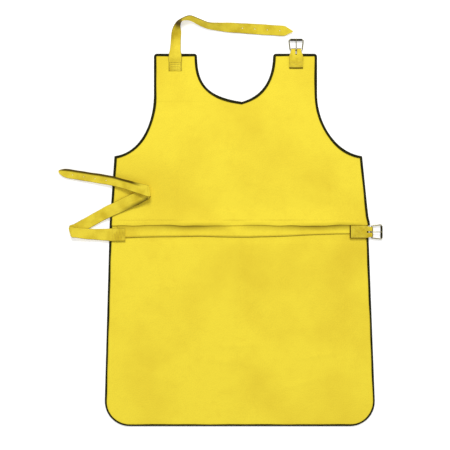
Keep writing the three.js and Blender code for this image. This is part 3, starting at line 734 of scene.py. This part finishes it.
class APRON_OT_body(bpy.types.Operator):
    """Makes the bib, the skirt and the waist band"""

    bl_idname = "apron.body"
    bl_label = "Body panels"

    def execute(self, context):
        skirt, bib = skirt_sheet(context), bib_sheet(context)
        band = self.band(context)
        for piece, node in ((skirt, "skirt_panel"), (bib, "bib_panel"), (band, "waist_band")):
            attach(piece, "apron")
            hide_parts(node)
        return {"FINISHED"}

    def band(self, context):
        x0 = side(WAIST, -1) + BAND["inset"]
        x1 = side(WAIST, 1) - BAND["inset"]
        xs = np.linspace(x0, x1, 240)
        ys = np.array([0, 0.25, 0.9, 1.5, 1.9, 3.2, 5, 8, 12, 16, 19, 21, 23, 25, 27, 29, 32, BAND["top"]])
        edge_and_shade = []
        top = BAND["z"] + PANEL_TOP
        points = []
        for y in ys:
            sag = 0.25 * np.sin(xs / 43 + 1) * math.exp(-(((y - 14) / 9) ** 2))
            sag += 0.12 * np.sin(xs / 13 + y / 5) * (3 < y < 27)
            edge = -0.35 * math.exp(-((y / 0.8) ** 2)) - 0.18 * math.exp(-(((y - 3.2) / 0.9) ** 2))
            wander = (band_edge(xs) + 0.3 * np.sin(xs / 21)) * max(0, 1 - y / 17)
            points += [(float(x), float(y + w), float(top + s + edge)) for x, s, w in zip(xs, sag, wander)]
            # The lower edge line: partly the band's cut edge, partly painted shade under its step.
            cut = 0.9 if y <= 0.9 else 0.15 if y < 4 else 0
            # Painted shadow on the band just below the bib's lip, stronger where the lip is loose and
            # lifted, weaker where it is caught flat.
            painted_lip_shadow = np.clip((y - 12) / 15, 0, 1) ** 1.3
            loose = np.exp(-(((xs + 125) / 55) ** 2)) + np.exp(-(((xs - 185) / 80) ** 2))
            caught = np.exp(-(((xs + 10) / 26) ** 2))
            edge_and_shade += list(np.maximum(cut, painted_lip_shadow * (0.34 + 0.42 * loose) * (1 - 0.8 * caught)))
        faces = grid_faces(len(ys), len(xs))
        obj = mesh_object("waist_band_leather", points, faces, body_leather(context, banded=True), edge_and_shade)
        return thick(obj, context.scene.apron_sizes.leather)


# ---- Binding --------------------------------------------------------------------

# The folded strip's section: (inwards from the edge, height), lips 0.7 thick
BINDING_PROFILE = [
    (6.0, 0.05), (3.0, 0.0), (1.2, 0.1), (0.4, 0.5), (0.0, 1.2), (0.0, 2.3), (0.4, 3.05), (1.3, 3.45),
    (3.0, 3.55), (4.4, 3.4), (5.6, 3.45), (6.1, 3.3), (6.2, 2.9), (5.8, 2.75), (2.4, 2.8), (1.1, 2.6),
    (0.8, 1.8), (1.1, 0.9), (2.4, 0.72), (6.0, 0.7), (6.15, 0.35),
]
# Spacing of the binding's sections along an edge, in millimetres
STRIP_SPACING = 2.2
SEAM_INSET = 4.4
SEAM_SPACING = 1.5


def binding_leather(context):
    c = context.scene.apron_colours
    return leather("binding_hide", c.binding, times(c.binding, 2.2), patch=60.0, strength=0.8,
                   grain=700.0, rough=0.6, bump=0.4)


class APRON_OT_binding(bpy.types.Operator):
    """Folds the dark strip round every edge and sews it"""

    bl_idname = "apron.binding"
    bl_label = "Edge binding"

    def execute(self, context):
        material = binding_leather(context)
        dark = thread_material("dark_sewing_thread", times(context.scene.apron_colours.binding, 1.05))
        for key, node, name, middle in (
            ("bib_left", "bib_binding_left", "bib_binding_left_strip", 0),
            ("bib_right", "bib_binding_right", "bib_binding_right_strip", -1),
            ("skirt", "skirt_binding", "skirt_binding_strip", None),
        ):
            path = resampled(edge_path(key), STRIP_SPACING)
            normal = mitred(path, middle)
            lift = np.zeros(len(path)) if key == "skirt" else bib_lift(path[:, 1])
            strip = sweep(name, path, normal, lift, BINDING_PROFILE, material)
            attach(strip, "apron")
            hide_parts(node)
            seam = path + normal * (SEAM_INSET * strip_share(path))[:, None]
            run = np.column_stack([seam, lift + BINDING_TOP])
            row = stitches(context, f"{node}_stitches", [resampled(run, SEAM_SPACING)], dark)
            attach(row, "apron")
            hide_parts(f"{node}_stitching")
        return {"FINISHED"}


# ---- Straps ---------------------------------------------------------------------

# Each station: x, y, z, direction from one edge to the other, width, curl of that second edge
WEST = (-1, 0, 0)
NECK_STATIONS = [
    (-156.9, 400, 2.8, *WEST, 31.5, 0), (-156.9, 411, 2.8, *WEST, 31.5, 0),
    (-156.9, 422, 2.9, *WEST, 31.5, 0), (-156.9, 433, 5.0, *WEST, 31.5, 0),
    (-156.9, 442, CROSSING, *WEST, 30.5, 0), (-156.8, 446, CROSSING, *WEST, 28.5, 0),
    (-156.4, 454, 4.4, *WEST, 26.5, 0), (-155.8, 466, 2.2, *WEST, 25, 0.4),
    (-155.2, 480, 2.4, -1, 0, 0.06, 24.5, 0.4), (-153.6, 495, 7.7, -0.86, 0.06, 0.5, 24.5, 0),
    (-151.2, 508, 12.0, -0.52, 0.1, 0.85, 24.5, 0), (-147, 516.5, 13.2, -0.26, 0.12, 0.96, 24, 0),
    (-140, 522.5, 13.6, 0, 0.1, 0.99, 24, 0), (-130, 526, 13.2, 0.03, 0.24, 0.97, 24, 0),
    (-118, 525.6, 12.9, 0.05, 0.4, 0.91, 24.5, 0), (-99, 517, 12.4, 0.12, 0.46, 0.88, 25, 0),
    (-78, 508.6, 12.2, 0.16, 0.48, 0.86, 25, 0),
    (-54, 505.8, 11.2, 0.05, 0.62, 0.78, 25, 0), (-25, 504.3, 7.8, 0.04, 0.86, 0.5, 25, 0),
    (11, 502.4, 6.2, 0.05, 0.92, 0.38, 25, 0), (52, 499.8, 5.2, 0.06, 0.95, 0.3, 25, 0),
    (88, 497.6, 4.5, 0.05, 0.97, 0.22, 25, 0), (106, 496.6, 4.2, 0.04, 0.98, 0.2, 24.5, 0),
    (116.5, 496.1, 4.1, 0.04, 0.98, 0.2, 14, 0), (127, 495.6, 4, 0.04, 0.98, 0.2, 1.5, 0),
]
NECK_HOLES = [(5, 502.8), (35, 500.9), (65, 499.1), (95, 497.3)]
NECK_HOLE_RADIUS = 1.4
TAIL_HOLES = [(-404, 149.8), (-377, 145.4), (-350, 141.0), (-323, 136.6)]
TAIL_HOLE_RADIUS = 1.1
LEFT_FOLD = {"at": (-406, 11.5, 9.6), "heading": (-1, 0.06, 0), "crease": (-0.25, 0.968, 0),
             "radius": 4.0, "rises": -1, "width": 26}
RIGHT_FOLD = {"at": (-221, 104.5, 12.6), "heading": (0.903, 0.429, 0), "crease": (-0.05, 0.999, 0),
              "radius": 4.5, "rises": 1, "width": 25}
# Share of the width lost at the outside of a fold, where its corners are rounded
FOLD_PINCH = 0.3
NORTH = (0, 1, 0)
ALONG_B = (-0.429, 0.903, 0)


def fold_stations(at, heading, crease, radius, rises, width):
    """A strap folded back round a level line: half a turn of a flat helix"""
    u, h = Vector(crease).normalized(), Vector(heading).normalized()
    out = (h - u * h.dot(u)).normalized()
    slant, wide = h.dot(u) / h.dot(out), width / h.dot(out)
    stations = []
    for degrees in range(0, 181, 15):
        turn = math.radians(degrees)
        p = Vector(at) + out * radius * math.sin(turn) + u * radius * slant * turn
        p.z += rises * radius * (1 - math.cos(turn))
        stations.append((*p, *u, wide * (1 - FOLD_PINCH * math.sin(turn) ** 2), 0))
    return stations


def waist_stations():
    edge = side(WAIST, -1)
    y = WAIST_STRAP_Y
    return [
        (edge + 38, y, CROSSING, *NORTH, 31.5, 0), (edge + 20, y, CROSSING, *NORTH, 31.5, 0),
        (edge + 4, y, CROSSING, *NORTH, 31.5, 0), (edge - 6, y, CROSSING, *NORTH, 29, 0),
        (-345, 6.2, 5, *NORTH, 26, 0), (-375, 8.2, 6.6, *NORTH, 26, 0),
        (-396, 10.6, 9, -0.12, 0.99, 0, 26, 0),
        *fold_stations(**LEFT_FOLD),
        (-394, 20.5, 1.3, -0.38, 0.925, 0, 26, 0), (-370, 33, 1.7, *ALONG_B, 27, 0),
        (-340, 49.5, 4.3, *ALONG_B, 28, 0), (-318, 61, 6.0, *ALONG_B, 29, 0),
        (-298, 70.0, 5.8, *ALONG_B, 29, 0), (-272, 82.4, 6.4, *ALONG_B, 30, 0),
        (-245, 94.5, 9.8, -0.3, 0.954, 0, 30, 0),
        *fold_stations(**RIGHT_FOLD),
    ]


def tail_stations():
    first = fold_stations(**RIGHT_FOLD)[-1]
    return [
        first,
        (-236, 114.5, 20.4, 0.12, 0.99, 0.05, 25, 0), (-262, 123, 15, 0.26, 0.95, 0.1, 25, 3),
        (-285, 130, 11.2, 0.26, 0.93, 0.12, 25, 5), (-307, 136.1, 8.8, 0.22, 0.93, 0.12, 25.2, 6),
        (-335, 141.2, 7.4, 0.16, 0.94, 0.1, 25.2, 6), (-362, 145.4, 6.2, 0.14, 0.94, 0.1, 25.2, 6),
        (-395, 150.6, 5.2, 0.14, 0.94, 0.1, 25, 5.5), (-418, 154.2, 4.8, 0.14, 0.94, 0.1, 23, 4.5),
        (-430, 156.4, 4.8, 0.15, 0.94, 0.12, 16, 2.5), (-438, 158.6, 5.0, 0.16, 0.94, 0.14, 5, 0.5),
    ]


def spline(values, per):
    """Catmull-Rom through rows of numbers, `per` steps a span"""
    rows = np.array(values, float)
    ends = np.vstack([2 * rows[0] - rows[1], rows, 2 * rows[-1] - rows[-2]])
    result = []
    for i in range(len(rows) - 1):
        p0, p1, p2, p3 = ends[i : i + 4]
        for t in np.arange(per) / per:
            result.append(0.5 * (2 * p1 + (p2 - p0) * t + (2 * p0 - 5 * p1 + 4 * p2 - p3) * t**2
                                 + (3 * p1 - p0 - 3 * p2 + p3) * t**3))
    result.append(rows[-1])
    return np.array(result)


def painted_twist_shade(point, s):
    """Painted shade inside the twist, where the strap turns over and its face tilts away from the light"""
    x, y, _ = point
    if x > -141 or y < 486:
        return 0
    return 0.95 * math.exp(-(((y - 514) / 12) ** 2)) * min(1, max(0, (x + 163) / 9))


def painted_climb_shadow(point, s):
    """Painted shadow on the lower margin of the climbing part, standing in for the shadow the raised strap
    casts there
    """
    x, y, z = point
    painted_shadow_share = min(1, max(0, (x + 305) / 60)) * min(1, max(0, (-s - 0.4) / 0.4)) * (y > 60) * (x < -221)
    return 0.85 * painted_shadow_share


# Leaves a strap without painted shade.
def no_painted_shade(point, s):
    return 0


SPLINE_STEPS = 6
# Places across a strap, -1 to 1, closer together at its edges
ACROSS = np.array([-1, -0.97, -0.88, -0.62, -0.3, 0, 0.3, 0.55, 0.72, 0.85, 0.93, 0.98, 1.0])


def strap_mesh(context, name, stations, material, cup=0.5, seed=1, painted_shade=no_painted_shade):
    """A strip with a softly cupped section, rounded edges and a little wander"""
    path = spline(stations, SPLINE_STEPS)
    rng = random.Random(seed)
    phase = [rng.uniform(0, 6.28) for _ in range(4)]
    half_wall = context.scene.apron_sizes.strap / MM / 2
    centre = path[:, :3]
    tangent = np.gradient(centre, axis=0)
    tangent /= np.linalg.norm(tangent, axis=1)[:, None]
    run = np.concatenate([[0], np.cumsum(np.linalg.norm(np.diff(centre, axis=0), axis=1))])
    rings, edge_and_shade_rings = [], []
    for i, row in enumerate(path):
        across = row[3:6] / np.linalg.norm(row[3:6])
        up = np.cross(tangent[i], across)
        up /= np.linalg.norm(up)
        bow = (-1 if up[2] < -1e-6 else 1) * min(1, abs(up[2]) * 1.4)
        half = row[6] / 2 + 0.25 * math.sin(run[i] / 17 + phase[0]) + 0.15 * math.sin(run[i] / 6 + phase[1])
        half = max(half, 0.4)
        upper, lower, edge_and_shade = [], [], []
        for s in ACROSS:
            rise = cup * (s * s - 0.4) + 0.3 * math.sin(run[i] / 23 + 1.7 * s + phase[2]) * (1 - abs(s))
            curl = max(0.0, (s - 0.35) / 0.65)
            rise += row[7] * curl**2
            reach = s * half - min(row[7], 6) * 0.3 * curl**2
            wall = half_wall * (0.45 if abs(s) == 1 else 0.8 if abs(s) >= 0.97 else 1)
            base = centre[i] + across * reach + up * bow * rise
            upper.append(base + up * wall)
            lower.append(base - up * wall)
            edge = 1.0 if abs(s) == 1 else 0.6 if abs(s) >= 0.97 else 0.0
            # The curled-up margin takes the cut edge's colour: partly its raw edge, partly painted shade
            # where it faces away from the light.
            curled_edge_and_shade = min(1.0, row[7] / 3) * min(1.0, max(0.0, (s - 0.3) / 0.12))
            # Each point's darkening: the raw cut edge at the two edges, the curled margin, and any painted
            # shade passed in.
            edge_and_shade.append(max(edge, 0.9 * curled_edge_and_shade, painted_shade(base, s)))
        rings.append([*upper, *lower[::-1]])
        edge_and_shade_rings += [*edge_and_shade, *edge_and_shade[::-1]]
    count = len(rings[0])
    points = [tuple(p) for ring in rings for p in ring]
    faces = []
    for i in range(len(rings) - 1):
        for k in range(count):
            a, b = i * count + k, i * count + (k + 1) % count
            faces.append((a, a + count, b + count, b))
    half_count = count // 2
    for k in range(half_count - 1):
        faces.append((k, k + 1, count - 2 - k, count - 1 - k))
        last = (len(rings) - 1) * count
        faces.append((last + k, last + count - 1 - k, last + count - 2 - k, last + k + 1))
    obj = mesh_object(name, points, faces, material, edge_and_shade=edge_and_shade_rings)
    return outward(obj), float(run[-1])


def punch(obj, holes, radius):
    """Cuts round holes straight down through a strap"""
    for x, y in holes:
        bpy.ops.mesh.primitive_cylinder_add(
            vertices=20, radius=radius * MM, depth=0.08, location=(x * MM, y * MM, 0.01)
        )
        cutter = bpy.context.object
        cutter.data.materials.append(obj.data.materials[0])
        layer = cutter.data.attributes.new("edge_and_shade", "FLOAT", "POINT")
        layer.data.foreach_set("value", [1.0] * len(cutter.data.vertices))
        cut = obj.modifiers.new("hole", "BOOLEAN")
        cut.object = cutter
        cut.operation = "DIFFERENCE"
        cut.solver = "EXACT"
        apply_modifiers(obj)
        bpy.data.objects.remove(cutter)
    return obj


class APRON_OT_straps(bpy.types.Operator):
    """Makes the neck strap and the folded waist strap"""

    bl_idname = "apron.straps"
    bl_label = "Straps"

    def execute(self, context):
        material = strap_leather(context)
        # The neck strap gets painted shade inside its twist.
        neck, neck_length = strap_mesh(context, "neck_strap_leather", NECK_STATIONS, material,
                                       seed=3, painted_shade=painted_twist_shade)
        punch(neck, NECK_HOLES, NECK_HOLE_RADIUS)
        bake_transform(neck)
        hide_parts("neck_strap_sewn_end", "neck_strap")

        # The waist strap gets painted shadow along the lower margin of its climbing part.
        waist, waist_length = strap_mesh(context, "waist_strap_leather", waist_stations(), material,
                                         cup=0.4, seed=5, painted_shade=painted_climb_shadow)
        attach(waist, "apron")
        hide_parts("waist_strap")

        tail, tail_length = strap_mesh(context, "waist_strap_tail_leather", tail_stations(), material,
                                       cup=0.3, seed=8)
        punch(tail, TAIL_HOLES, TAIL_HOLE_RADIUS)
        start = [MM * value for value in tail_stations()[0][:3]]
        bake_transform(tail)
        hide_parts("waist_strap_tail")
        return {"FINISHED"}


# ---- Buckles and their tabs --------------------------------------------------------


WIRE_RADIUS = 1.5
# Sections turned round the bars: (radius, place along the bar)
ROLLER_PROFILE = [(1.9, -14.4), (2.0, -14.6), (2.45, -14.6), (2.6, -14.3),
                  (2.6, 14.3), (2.45, 14.6), (2.0, 14.6), (1.9, 14.4)]
EYE_PROFILE = [(1.85, -1.2), (2.1, -1.5), (3.1, -1.5), (3.4, -1.1),
               (3.4, 1.1), (3.1, 1.5), (2.1, 1.5), (1.85, 1.2)]
# The prong's rod starts above the eye and ends just past the roller
PRONG = {"start": 1.6, "past": 3.2, "rise": 2.85, "slope": 0.055,
         "places": (1.6, 4, 23, 26.2, 26.9, 27.2), "radii": (0.95, 1.1, 1.0, 0.85, 0.55, 0.15)}
TAB_ROUNDING = 0.45
# Range of the upward slope of a face that is painted as a cut edge
CUT_FACES = (-0.2, 0.86)


def placed(points, heel, turned):
    """Local (towards the roller, across, up) to the apron's frame"""
    x, y = heel
    if turned:
        return [(x - v, y + u, HEEL_Z + w) for u, v, w in points]
    return [(x + u, y + v, HEEL_Z + w) for u, v, w in points]


def tube(name, route, radii, sides, material, closed=False, heel=(0, 0), turned=False):
    """A wire along a route near the buckle's plane, with flat caps on its ends when it is open"""
    route = np.asarray(route, float)
    count = len(route)
    if closed:
        tangent = np.roll(route, -1, axis=0) - np.roll(route, 1, axis=0)
    else:
        tangent = np.gradient(route, axis=0)
    tangent /= np.linalg.norm(tangent, axis=1)[:, None]
    up = np.array([0, 0, 1.0])
    points = []
    for i in range(count):
        sideways = np.cross(tangent[i], up)
        sideways /= np.linalg.norm(sideways)
        over = np.cross(sideways, tangent[i])
        for k in range(sides):
            a = 2 * math.pi * k / sides
            points.append(route[i] + radii[i] * (math.cos(a) * sideways + math.sin(a) * over))
    faces = ring_faces(count, sides, closed) + ([] if closed else end_caps(count, sides))
    return outward(mesh_object(name, placed(points, heel, turned), faces, material))


def lathe(name, profile, sides, centre, material, heel, turned):
    """A ring about the across direction through `centre`"""
    points = []
    for k in range(sides):
        a = 2 * math.pi * k / sides
        for radius, v in profile:
            points.append((centre[0] + radius * math.cos(a), v, centre[1] + radius * math.sin(a)))
    faces = ring_faces(sides, len(profile), closed=True)
    return outward(mesh_object(name, placed(points, heel, turned), faces, material))


def frame_route():
    corners = [(0, -HEEL_HALF), (REACH, -FRONT_HALF), (REACH, FRONT_HALF), (0, HEEL_HALF)]
    middle = (REACH / 2, -16.0)
    loop = [middle, corners[1], corners[2], corners[3], corners[0], middle]
    path = rounded([(x, y, 0 if i in (0, 5) else 2.5) for i, (x, y) in enumerate(loop)])
    even = resampled(path, 1.0)[:-1]
    return np.column_stack([even, np.zeros(len(even))])


SKIVE = 2.6
SLOT = {"half": 3.05, "narrowed": 0.62}


def shape_tab(work, heel, turned):
    """Skives the upper leg's end, and the waist tab's lower side, and narrows the slot"""
    along, across = (1, 0) if turned else (0, 1)
    centre = (heel[1], heel[0]) if turned else heel
    local = [(v, v.co[along] / MM - centre[0], v.co[across] / MM - centre[1], v.co.z / MM)
             for v in work.verts]
    end = min(u for _, u, _, _ in local)
    side_low = min(w for _, _, w, _ in local)
    for v, u, w, z in local:
        upper = [other[3] for other in local if abs(other[1] - u) < 0.3 and abs(other[2] - w) < 0.3]
        on_top = z > max(upper) - 0.1
        if u < end + 0.2 and on_top:
            v.co[along] += SKIVE * MM
        if not turned and w < side_low + 0.2 and on_top and u < -14:
            v.co[across] += 0.6 * SKIVE * MM
        if abs(w) < SLOT["half"]:
            v.co[across] = (centre[1] + w * SLOT["narrowed"]) * MM


def tab_from_frame(context, node, name, material, heel, turned):
    """A softened copy of the folded strip, with rounded edges"""
    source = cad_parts[node]
    data = source.data.copy()
    obj = bpy.data.objects.new(name, data)
    bpy.context.scene.collection.objects.link(obj)
    data.materials.clear()
    data.materials.append(material)
    with editing(data) as work:
        bmesh.ops.remove_doubles(work, verts=work.verts, dist=1e-6)
        bmesh.ops.dissolve_limit(work, angle_limit=0.02, verts=work.verts, edges=work.edges)
        shape_tab(work, heel, turned)
    soft = obj.modifiers.new("soft", "BEVEL")
    soft.width = TAB_ROUNDING * MM
    soft.segments = 2
    soft.limit_method = "ANGLE"
    soft.angle_limit = math.radians(40)
    apply_modifiers(obj)
    obj.data.polygons.foreach_set("use_smooth", [True] * len(obj.data.polygons))
    obj.data.set_sharp_from_angle(angle=math.radians(35))
    obj.data.materials.append(cut_edge(context))
    low, high = CUT_FACES
    sloping = [int(low < face.normal.z < high) for face in obj.data.polygons]
    obj.data.polygons.foreach_set("material_index", sloping)
    return obj


def cut_edge(context):
    dark = context.scene.apron_colours.cut_edge
    return leather("cut_edge_hide", dark, times(dark, 2.2), patch=90.0, strength=0.6, rough=0.7, bump=0.4)


class APRON_OT_buckles(bpy.types.Operator):
    """Makes both roller buckles and the leather tabs that hold them"""

    bl_idname = "apron.buckles"
    bl_label = "Buckles and tabs"

    def execute(self, context):
        c = context.scene.apron_colours
        nickel = metal("nickel_plate", c.nickel, 0.22)
        steel = metal("dark_tube", c.roller, 0.35)
        hides = {"neck": leather("neck_tab_hide", c.strap, c.strap_dark, patch=75.0, strength=0.7, bump=0.5),
                 "waist": leather("waist_tab_hide", times(c.strap, 0.86), c.strap_dark, patch=60.0,
                                  strength=1.0, bump=0.5)}
        for prefix, heel, turned in (("neck", NECK_BUCKLE, True), ("waist", WAIST_BUCKLE, False)):
            tab = tab_from_frame(context, f"{prefix}_buckle_tab", f"{prefix}_buckle_tab_leather",
                                 hides[prefix], heel, turned)
            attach(tab, "apron")
            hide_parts(f"{prefix}_buckle_tab")
            self.metalwork(prefix, heel, turned, nickel, steel)
        return {"FINISHED"}

    def metalwork(self, prefix, heel, turned, nickel, steel):
        route = frame_route()
        radii = [WIRE_RADIUS] * len(route)
        wire = tube(f"{prefix}_buckle_wire", route, radii, 20, nickel, True, heel, turned)
        roller = lathe(f"{prefix}_buckle_roller_tube", ROLLER_PROFILE, 40, (REACH, 0), steel, heel, turned)
        ring = lathe(f"{prefix}_prong_eye", EYE_PROFILE, 36, (0, 0), nickel, heel, turned)
        start, rise, slope = PRONG["start"], PRONG["rise"], PRONG["slope"]
        xs = np.linspace(start, REACH + PRONG["past"], 24)
        zs = rise + (xs - start) * slope
        radii = np.interp(xs, PRONG["places"], PRONG["radii"])
        rod_route = np.column_stack([xs, np.zeros(len(xs)), zs])
        rod = tube(f"{prefix}_prong_rod", rod_route, radii, 16, nickel, False, heel, turned)
        for piece, body in ((wire, "buckle"), (roller, "roller"), (ring, "prong"), (rod, "prong")):
            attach(piece, f"{prefix}_{body}")
        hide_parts(f"{prefix}_buckle_frame")
        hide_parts(f"{prefix}_buckle_roller")
        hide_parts(f"{prefix}_buckle_prong")


# ---- Stitching on the leather -------------------------------------------------------


# Seams: where they end short of the edge, spacing of their points, places and heights
SEAM_END = 22
SEAM_STEP = 2.0
LOWER_SEAM = {"y": 3.4, "follows": 0.8, "z": 3.42}
UPPER_SEAM = {"y": 41.0, "z": BIB_LIFT + 2.0}
# Rows on the tabs: first and last place along the tab, half width, height above the heel bar
NECK_TAB_ROWS = (-40.4, -29.2, 13.6, 5.8 - HEEL_Z)
WAIST_TAB_ROWS = (-46.6, -12, 12.8, 8.12 - HEEL_Z)
STRAP_HALF = 12.5


class APRON_OT_stitching(bpy.types.Operator):
    """Sews the waist seams, the strap ends and the tabs"""

    bl_idname = "apron.stitching"
    bl_label = "Stitching"

    def execute(self, context):
        c = context.scene.apron_colours
        thread = thread_material("strap_sewing_thread", c.thread)
        seam = thread_material("seam_sewing_thread", c.seam_thread)
        tab = thread_material("tab_sewing_thread", c.tab_thread)
        xs = np.arange(side(WAIST, -1) + SEAM_END, side(WAIST, 1) - SEAM_END, SEAM_STEP)
        lower_y = [LOWER_SEAM["y"] + LOWER_SEAM["follows"] * band_edge(x) for x in xs]
        rows = {
            "waist_seam_lower_stitching": [[(x, y, LOWER_SEAM["z"]) for x, y in zip(xs, lower_y)]],
            "waist_seam_upper_stitching": [[(x, UPPER_SEAM["y"], UPPER_SEAM["z"]) for x in xs]],
            "neck_strap_stitching": self.strap_rows(),
            "waist_strap_stitching": self.waist_rows(),
            "neck_buckle_tab_stitching": self.tab_rows(NECK_BUCKLE, True, *NECK_TAB_ROWS),
            "waist_buckle_tab_stitching": self.tab_rows(WAIST_BUCKLE, False, *WAIST_TAB_ROWS),
        }
        for node, runs in rows.items():
            material = seam if "seam" in node else tab if "tab" in node else thread
            thick = 1.9 if "tab" in node else 1.5 if "neck" in node else 1.0
            if node == "waist_strap_stitching":
                material = thread_material("waist_sewing_thread", times(c.thread, 2.5))
            obj = stitches(context, node.replace("stitching", "stitches"), runs, material, thick)
            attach(obj, "apron")
            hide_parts(node)
        return {"FINISHED"}

    def strap_rows(self):
        """Rows straight across the neck strap's sewn end, and one along each side"""
        x, half = NECK_STRAP_X, STRAP_HALF
        rows = [[(x - half, y, 3.75), (x + half, y, 3.75)] for y in np.arange(403, 422, 4.4)]
        rows += [[(x + s * 13.5, 402, 3.8), (x + s * 13.5, 421, 3.85)] for s in (-1, 1)]
        return rows

    def waist_rows(self):
        """A sewn rectangle with a zigzag in it"""
        edge, y, z = side(WAIST, -1), WAIST_STRAP_Y, CROSSING + 1.0
        right, left = edge + 35.5, edge + 7
        rows = [[(left, y + s * STRAP_HALF, z), (right, y + s * STRAP_HALF, z)] for s in (-1, 1)]
        rows += [[(x, y - STRAP_HALF, z), (x, y + STRAP_HALF, z)] for x in (left, right)]
        zigzag = [(right - k * 3.6, y + (9.5 if k % 2 else -9.5), z) for k in range(8)]
        return [*rows, zigzag]

    def tab_rows(self, heel, turned, u0, u1, half, z):
        """A sewn rectangle with both its diagonals"""
        rows = [[(u0, s * half, z), (u1, s * half, z)] for s in (-1, 1)]
        rows += [[(u, -half, z), (u, half, z)] for u in (u0, u1)]
        rows += [[(u0, s * half, z), (u1, -s * half, z)] for s in (-1, 1)]
        return [placed(row, heel, turned) for row in rows]


# ---- Stage ---------------------------------------------------------------------------


FLOOR = {"half": 6000, "z": -0.4}
CAMERA = {"at": (-0.0369, 0.029, 3.016), "lens": 100, "sensor": 36}
# Each light: name, place, aim, size and power, in metres and watts
LIGHTS = (
    ("north_window", (-0.15, 2.6, 2.8), (0.0, 0.0, 0.0), 1.3, 78),
    ("fill", (0.6, -2.2, 3.2), (0, -0.2, 0), 3.0, 22),
)
SKY_STRENGTH = 0.53


class APRON_OT_stage(bpy.types.Operator):
    """Sets a pale floor, soft light from the neck's side and a camera straight above"""

    bl_idname = "apron.stage"
    bl_label = "Stage"

    def execute(self, context):
        scene = context.scene
        self.camera(scene)
        corners = [(FLOOR["half"] * a, FLOOR["half"] * b, FLOOR["z"])
                   for a, b in ((-1, -1), (1, -1), (1, 1), (-1, 1))]
        floor = mesh_object("floor", corners, [(0, 1, 2, 3)], self.pale(), smooth=False)
        for settings in LIGHTS:
            self.light(scene, *settings)
        world = bpy.data.worlds.new("studio")
        world.use_nodes = True
        background = world.node_tree.nodes["Background"].inputs
        background["Color"].default_value = (1, 1, 1, 1)
        background["Strength"].default_value = SKY_STRENGTH
        scene.world = world
        scene.view_settings.view_transform = "Standard"
        scene.view_settings.look = "None"
        return {"FINISHED"}

    def camera(self, scene):
        data = bpy.data.cameras.new("camera")
        data.lens = CAMERA["lens"]
        data.sensor_width = CAMERA["sensor"]
        camera = bpy.data.objects.new("camera", data)
        camera.location = CAMERA["at"]
        scene.collection.objects.link(camera)
        scene.camera = camera

    def pale(self):
        material, tree, shader = new_material("pale_floor")
        tree.fill(shader, {"Base Color": (0.95, 0.95, 0.95, 1), "Emission Color": (1, 1, 1, 1),
                           "Emission Strength": 0.3, "Roughness": 0.9, "Specular IOR Level": 0.0})
        return material

    def light(self, scene, name, at, aim, size, watts):
        data = bpy.data.lights.new(name, "AREA")
        data.shape = "SQUARE"
        data.size = size
        data.energy = watts
        lamp = bpy.data.objects.new(name, data)
        lamp.location = at
        lamp.rotation_euler = (Vector(aim) - Vector(at)).to_track_quat("-Z", "Y").to_euler()
        scene.collection.objects.link(lamp)


class APRON_PT_panel(bpy.types.Panel):
    """Lists the apron's operators and settings"""

    bl_label = "Apron"
    bl_idname = "APRON_PT_panel"
    bl_space_type = "VIEW_3D"
    bl_region_type = "UI"
    bl_category = "Apron"

    def draw(self, context):
        for operator in OPERATORS:
            self.layout.operator(operator.bl_idname)
        for group in (context.scene.apron_sizes, context.scene.apron_colours):
            for name in group.__annotations__:
                self.layout.prop(group, name)


OPERATORS = (APRON_OT_stage, APRON_OT_body, APRON_OT_binding, APRON_OT_straps, APRON_OT_buckles,
             APRON_OT_stitching)
CLASSES = (ApronSizes, ApronColours, *OPERATORS, APRON_PT_panel)


def register():
    for item in CLASSES:
        bpy.utils.register_class(item)
    bpy.types.Scene.apron_sizes = bpy.props.PointerProperty(type=ApronSizes)
    bpy.types.Scene.apron_colours = bpy.props.PointerProperty(type=ApronColours)


def unregister():
    del bpy.types.Scene.apron_colours
    del bpy.types.Scene.apron_sizes
    for item in reversed(CLASSES):
        bpy.utils.unregister_class(item)


def main():
    register()
    bpy.ops.apron.stage()
    bpy.ops.apron.body()
    bpy.ops.apron.binding()
    bpy.ops.apron.straps()
    bpy.ops.apron.buckles()
    bpy.ops.apron.stitching()


if __name__ == "__main__":
    main()
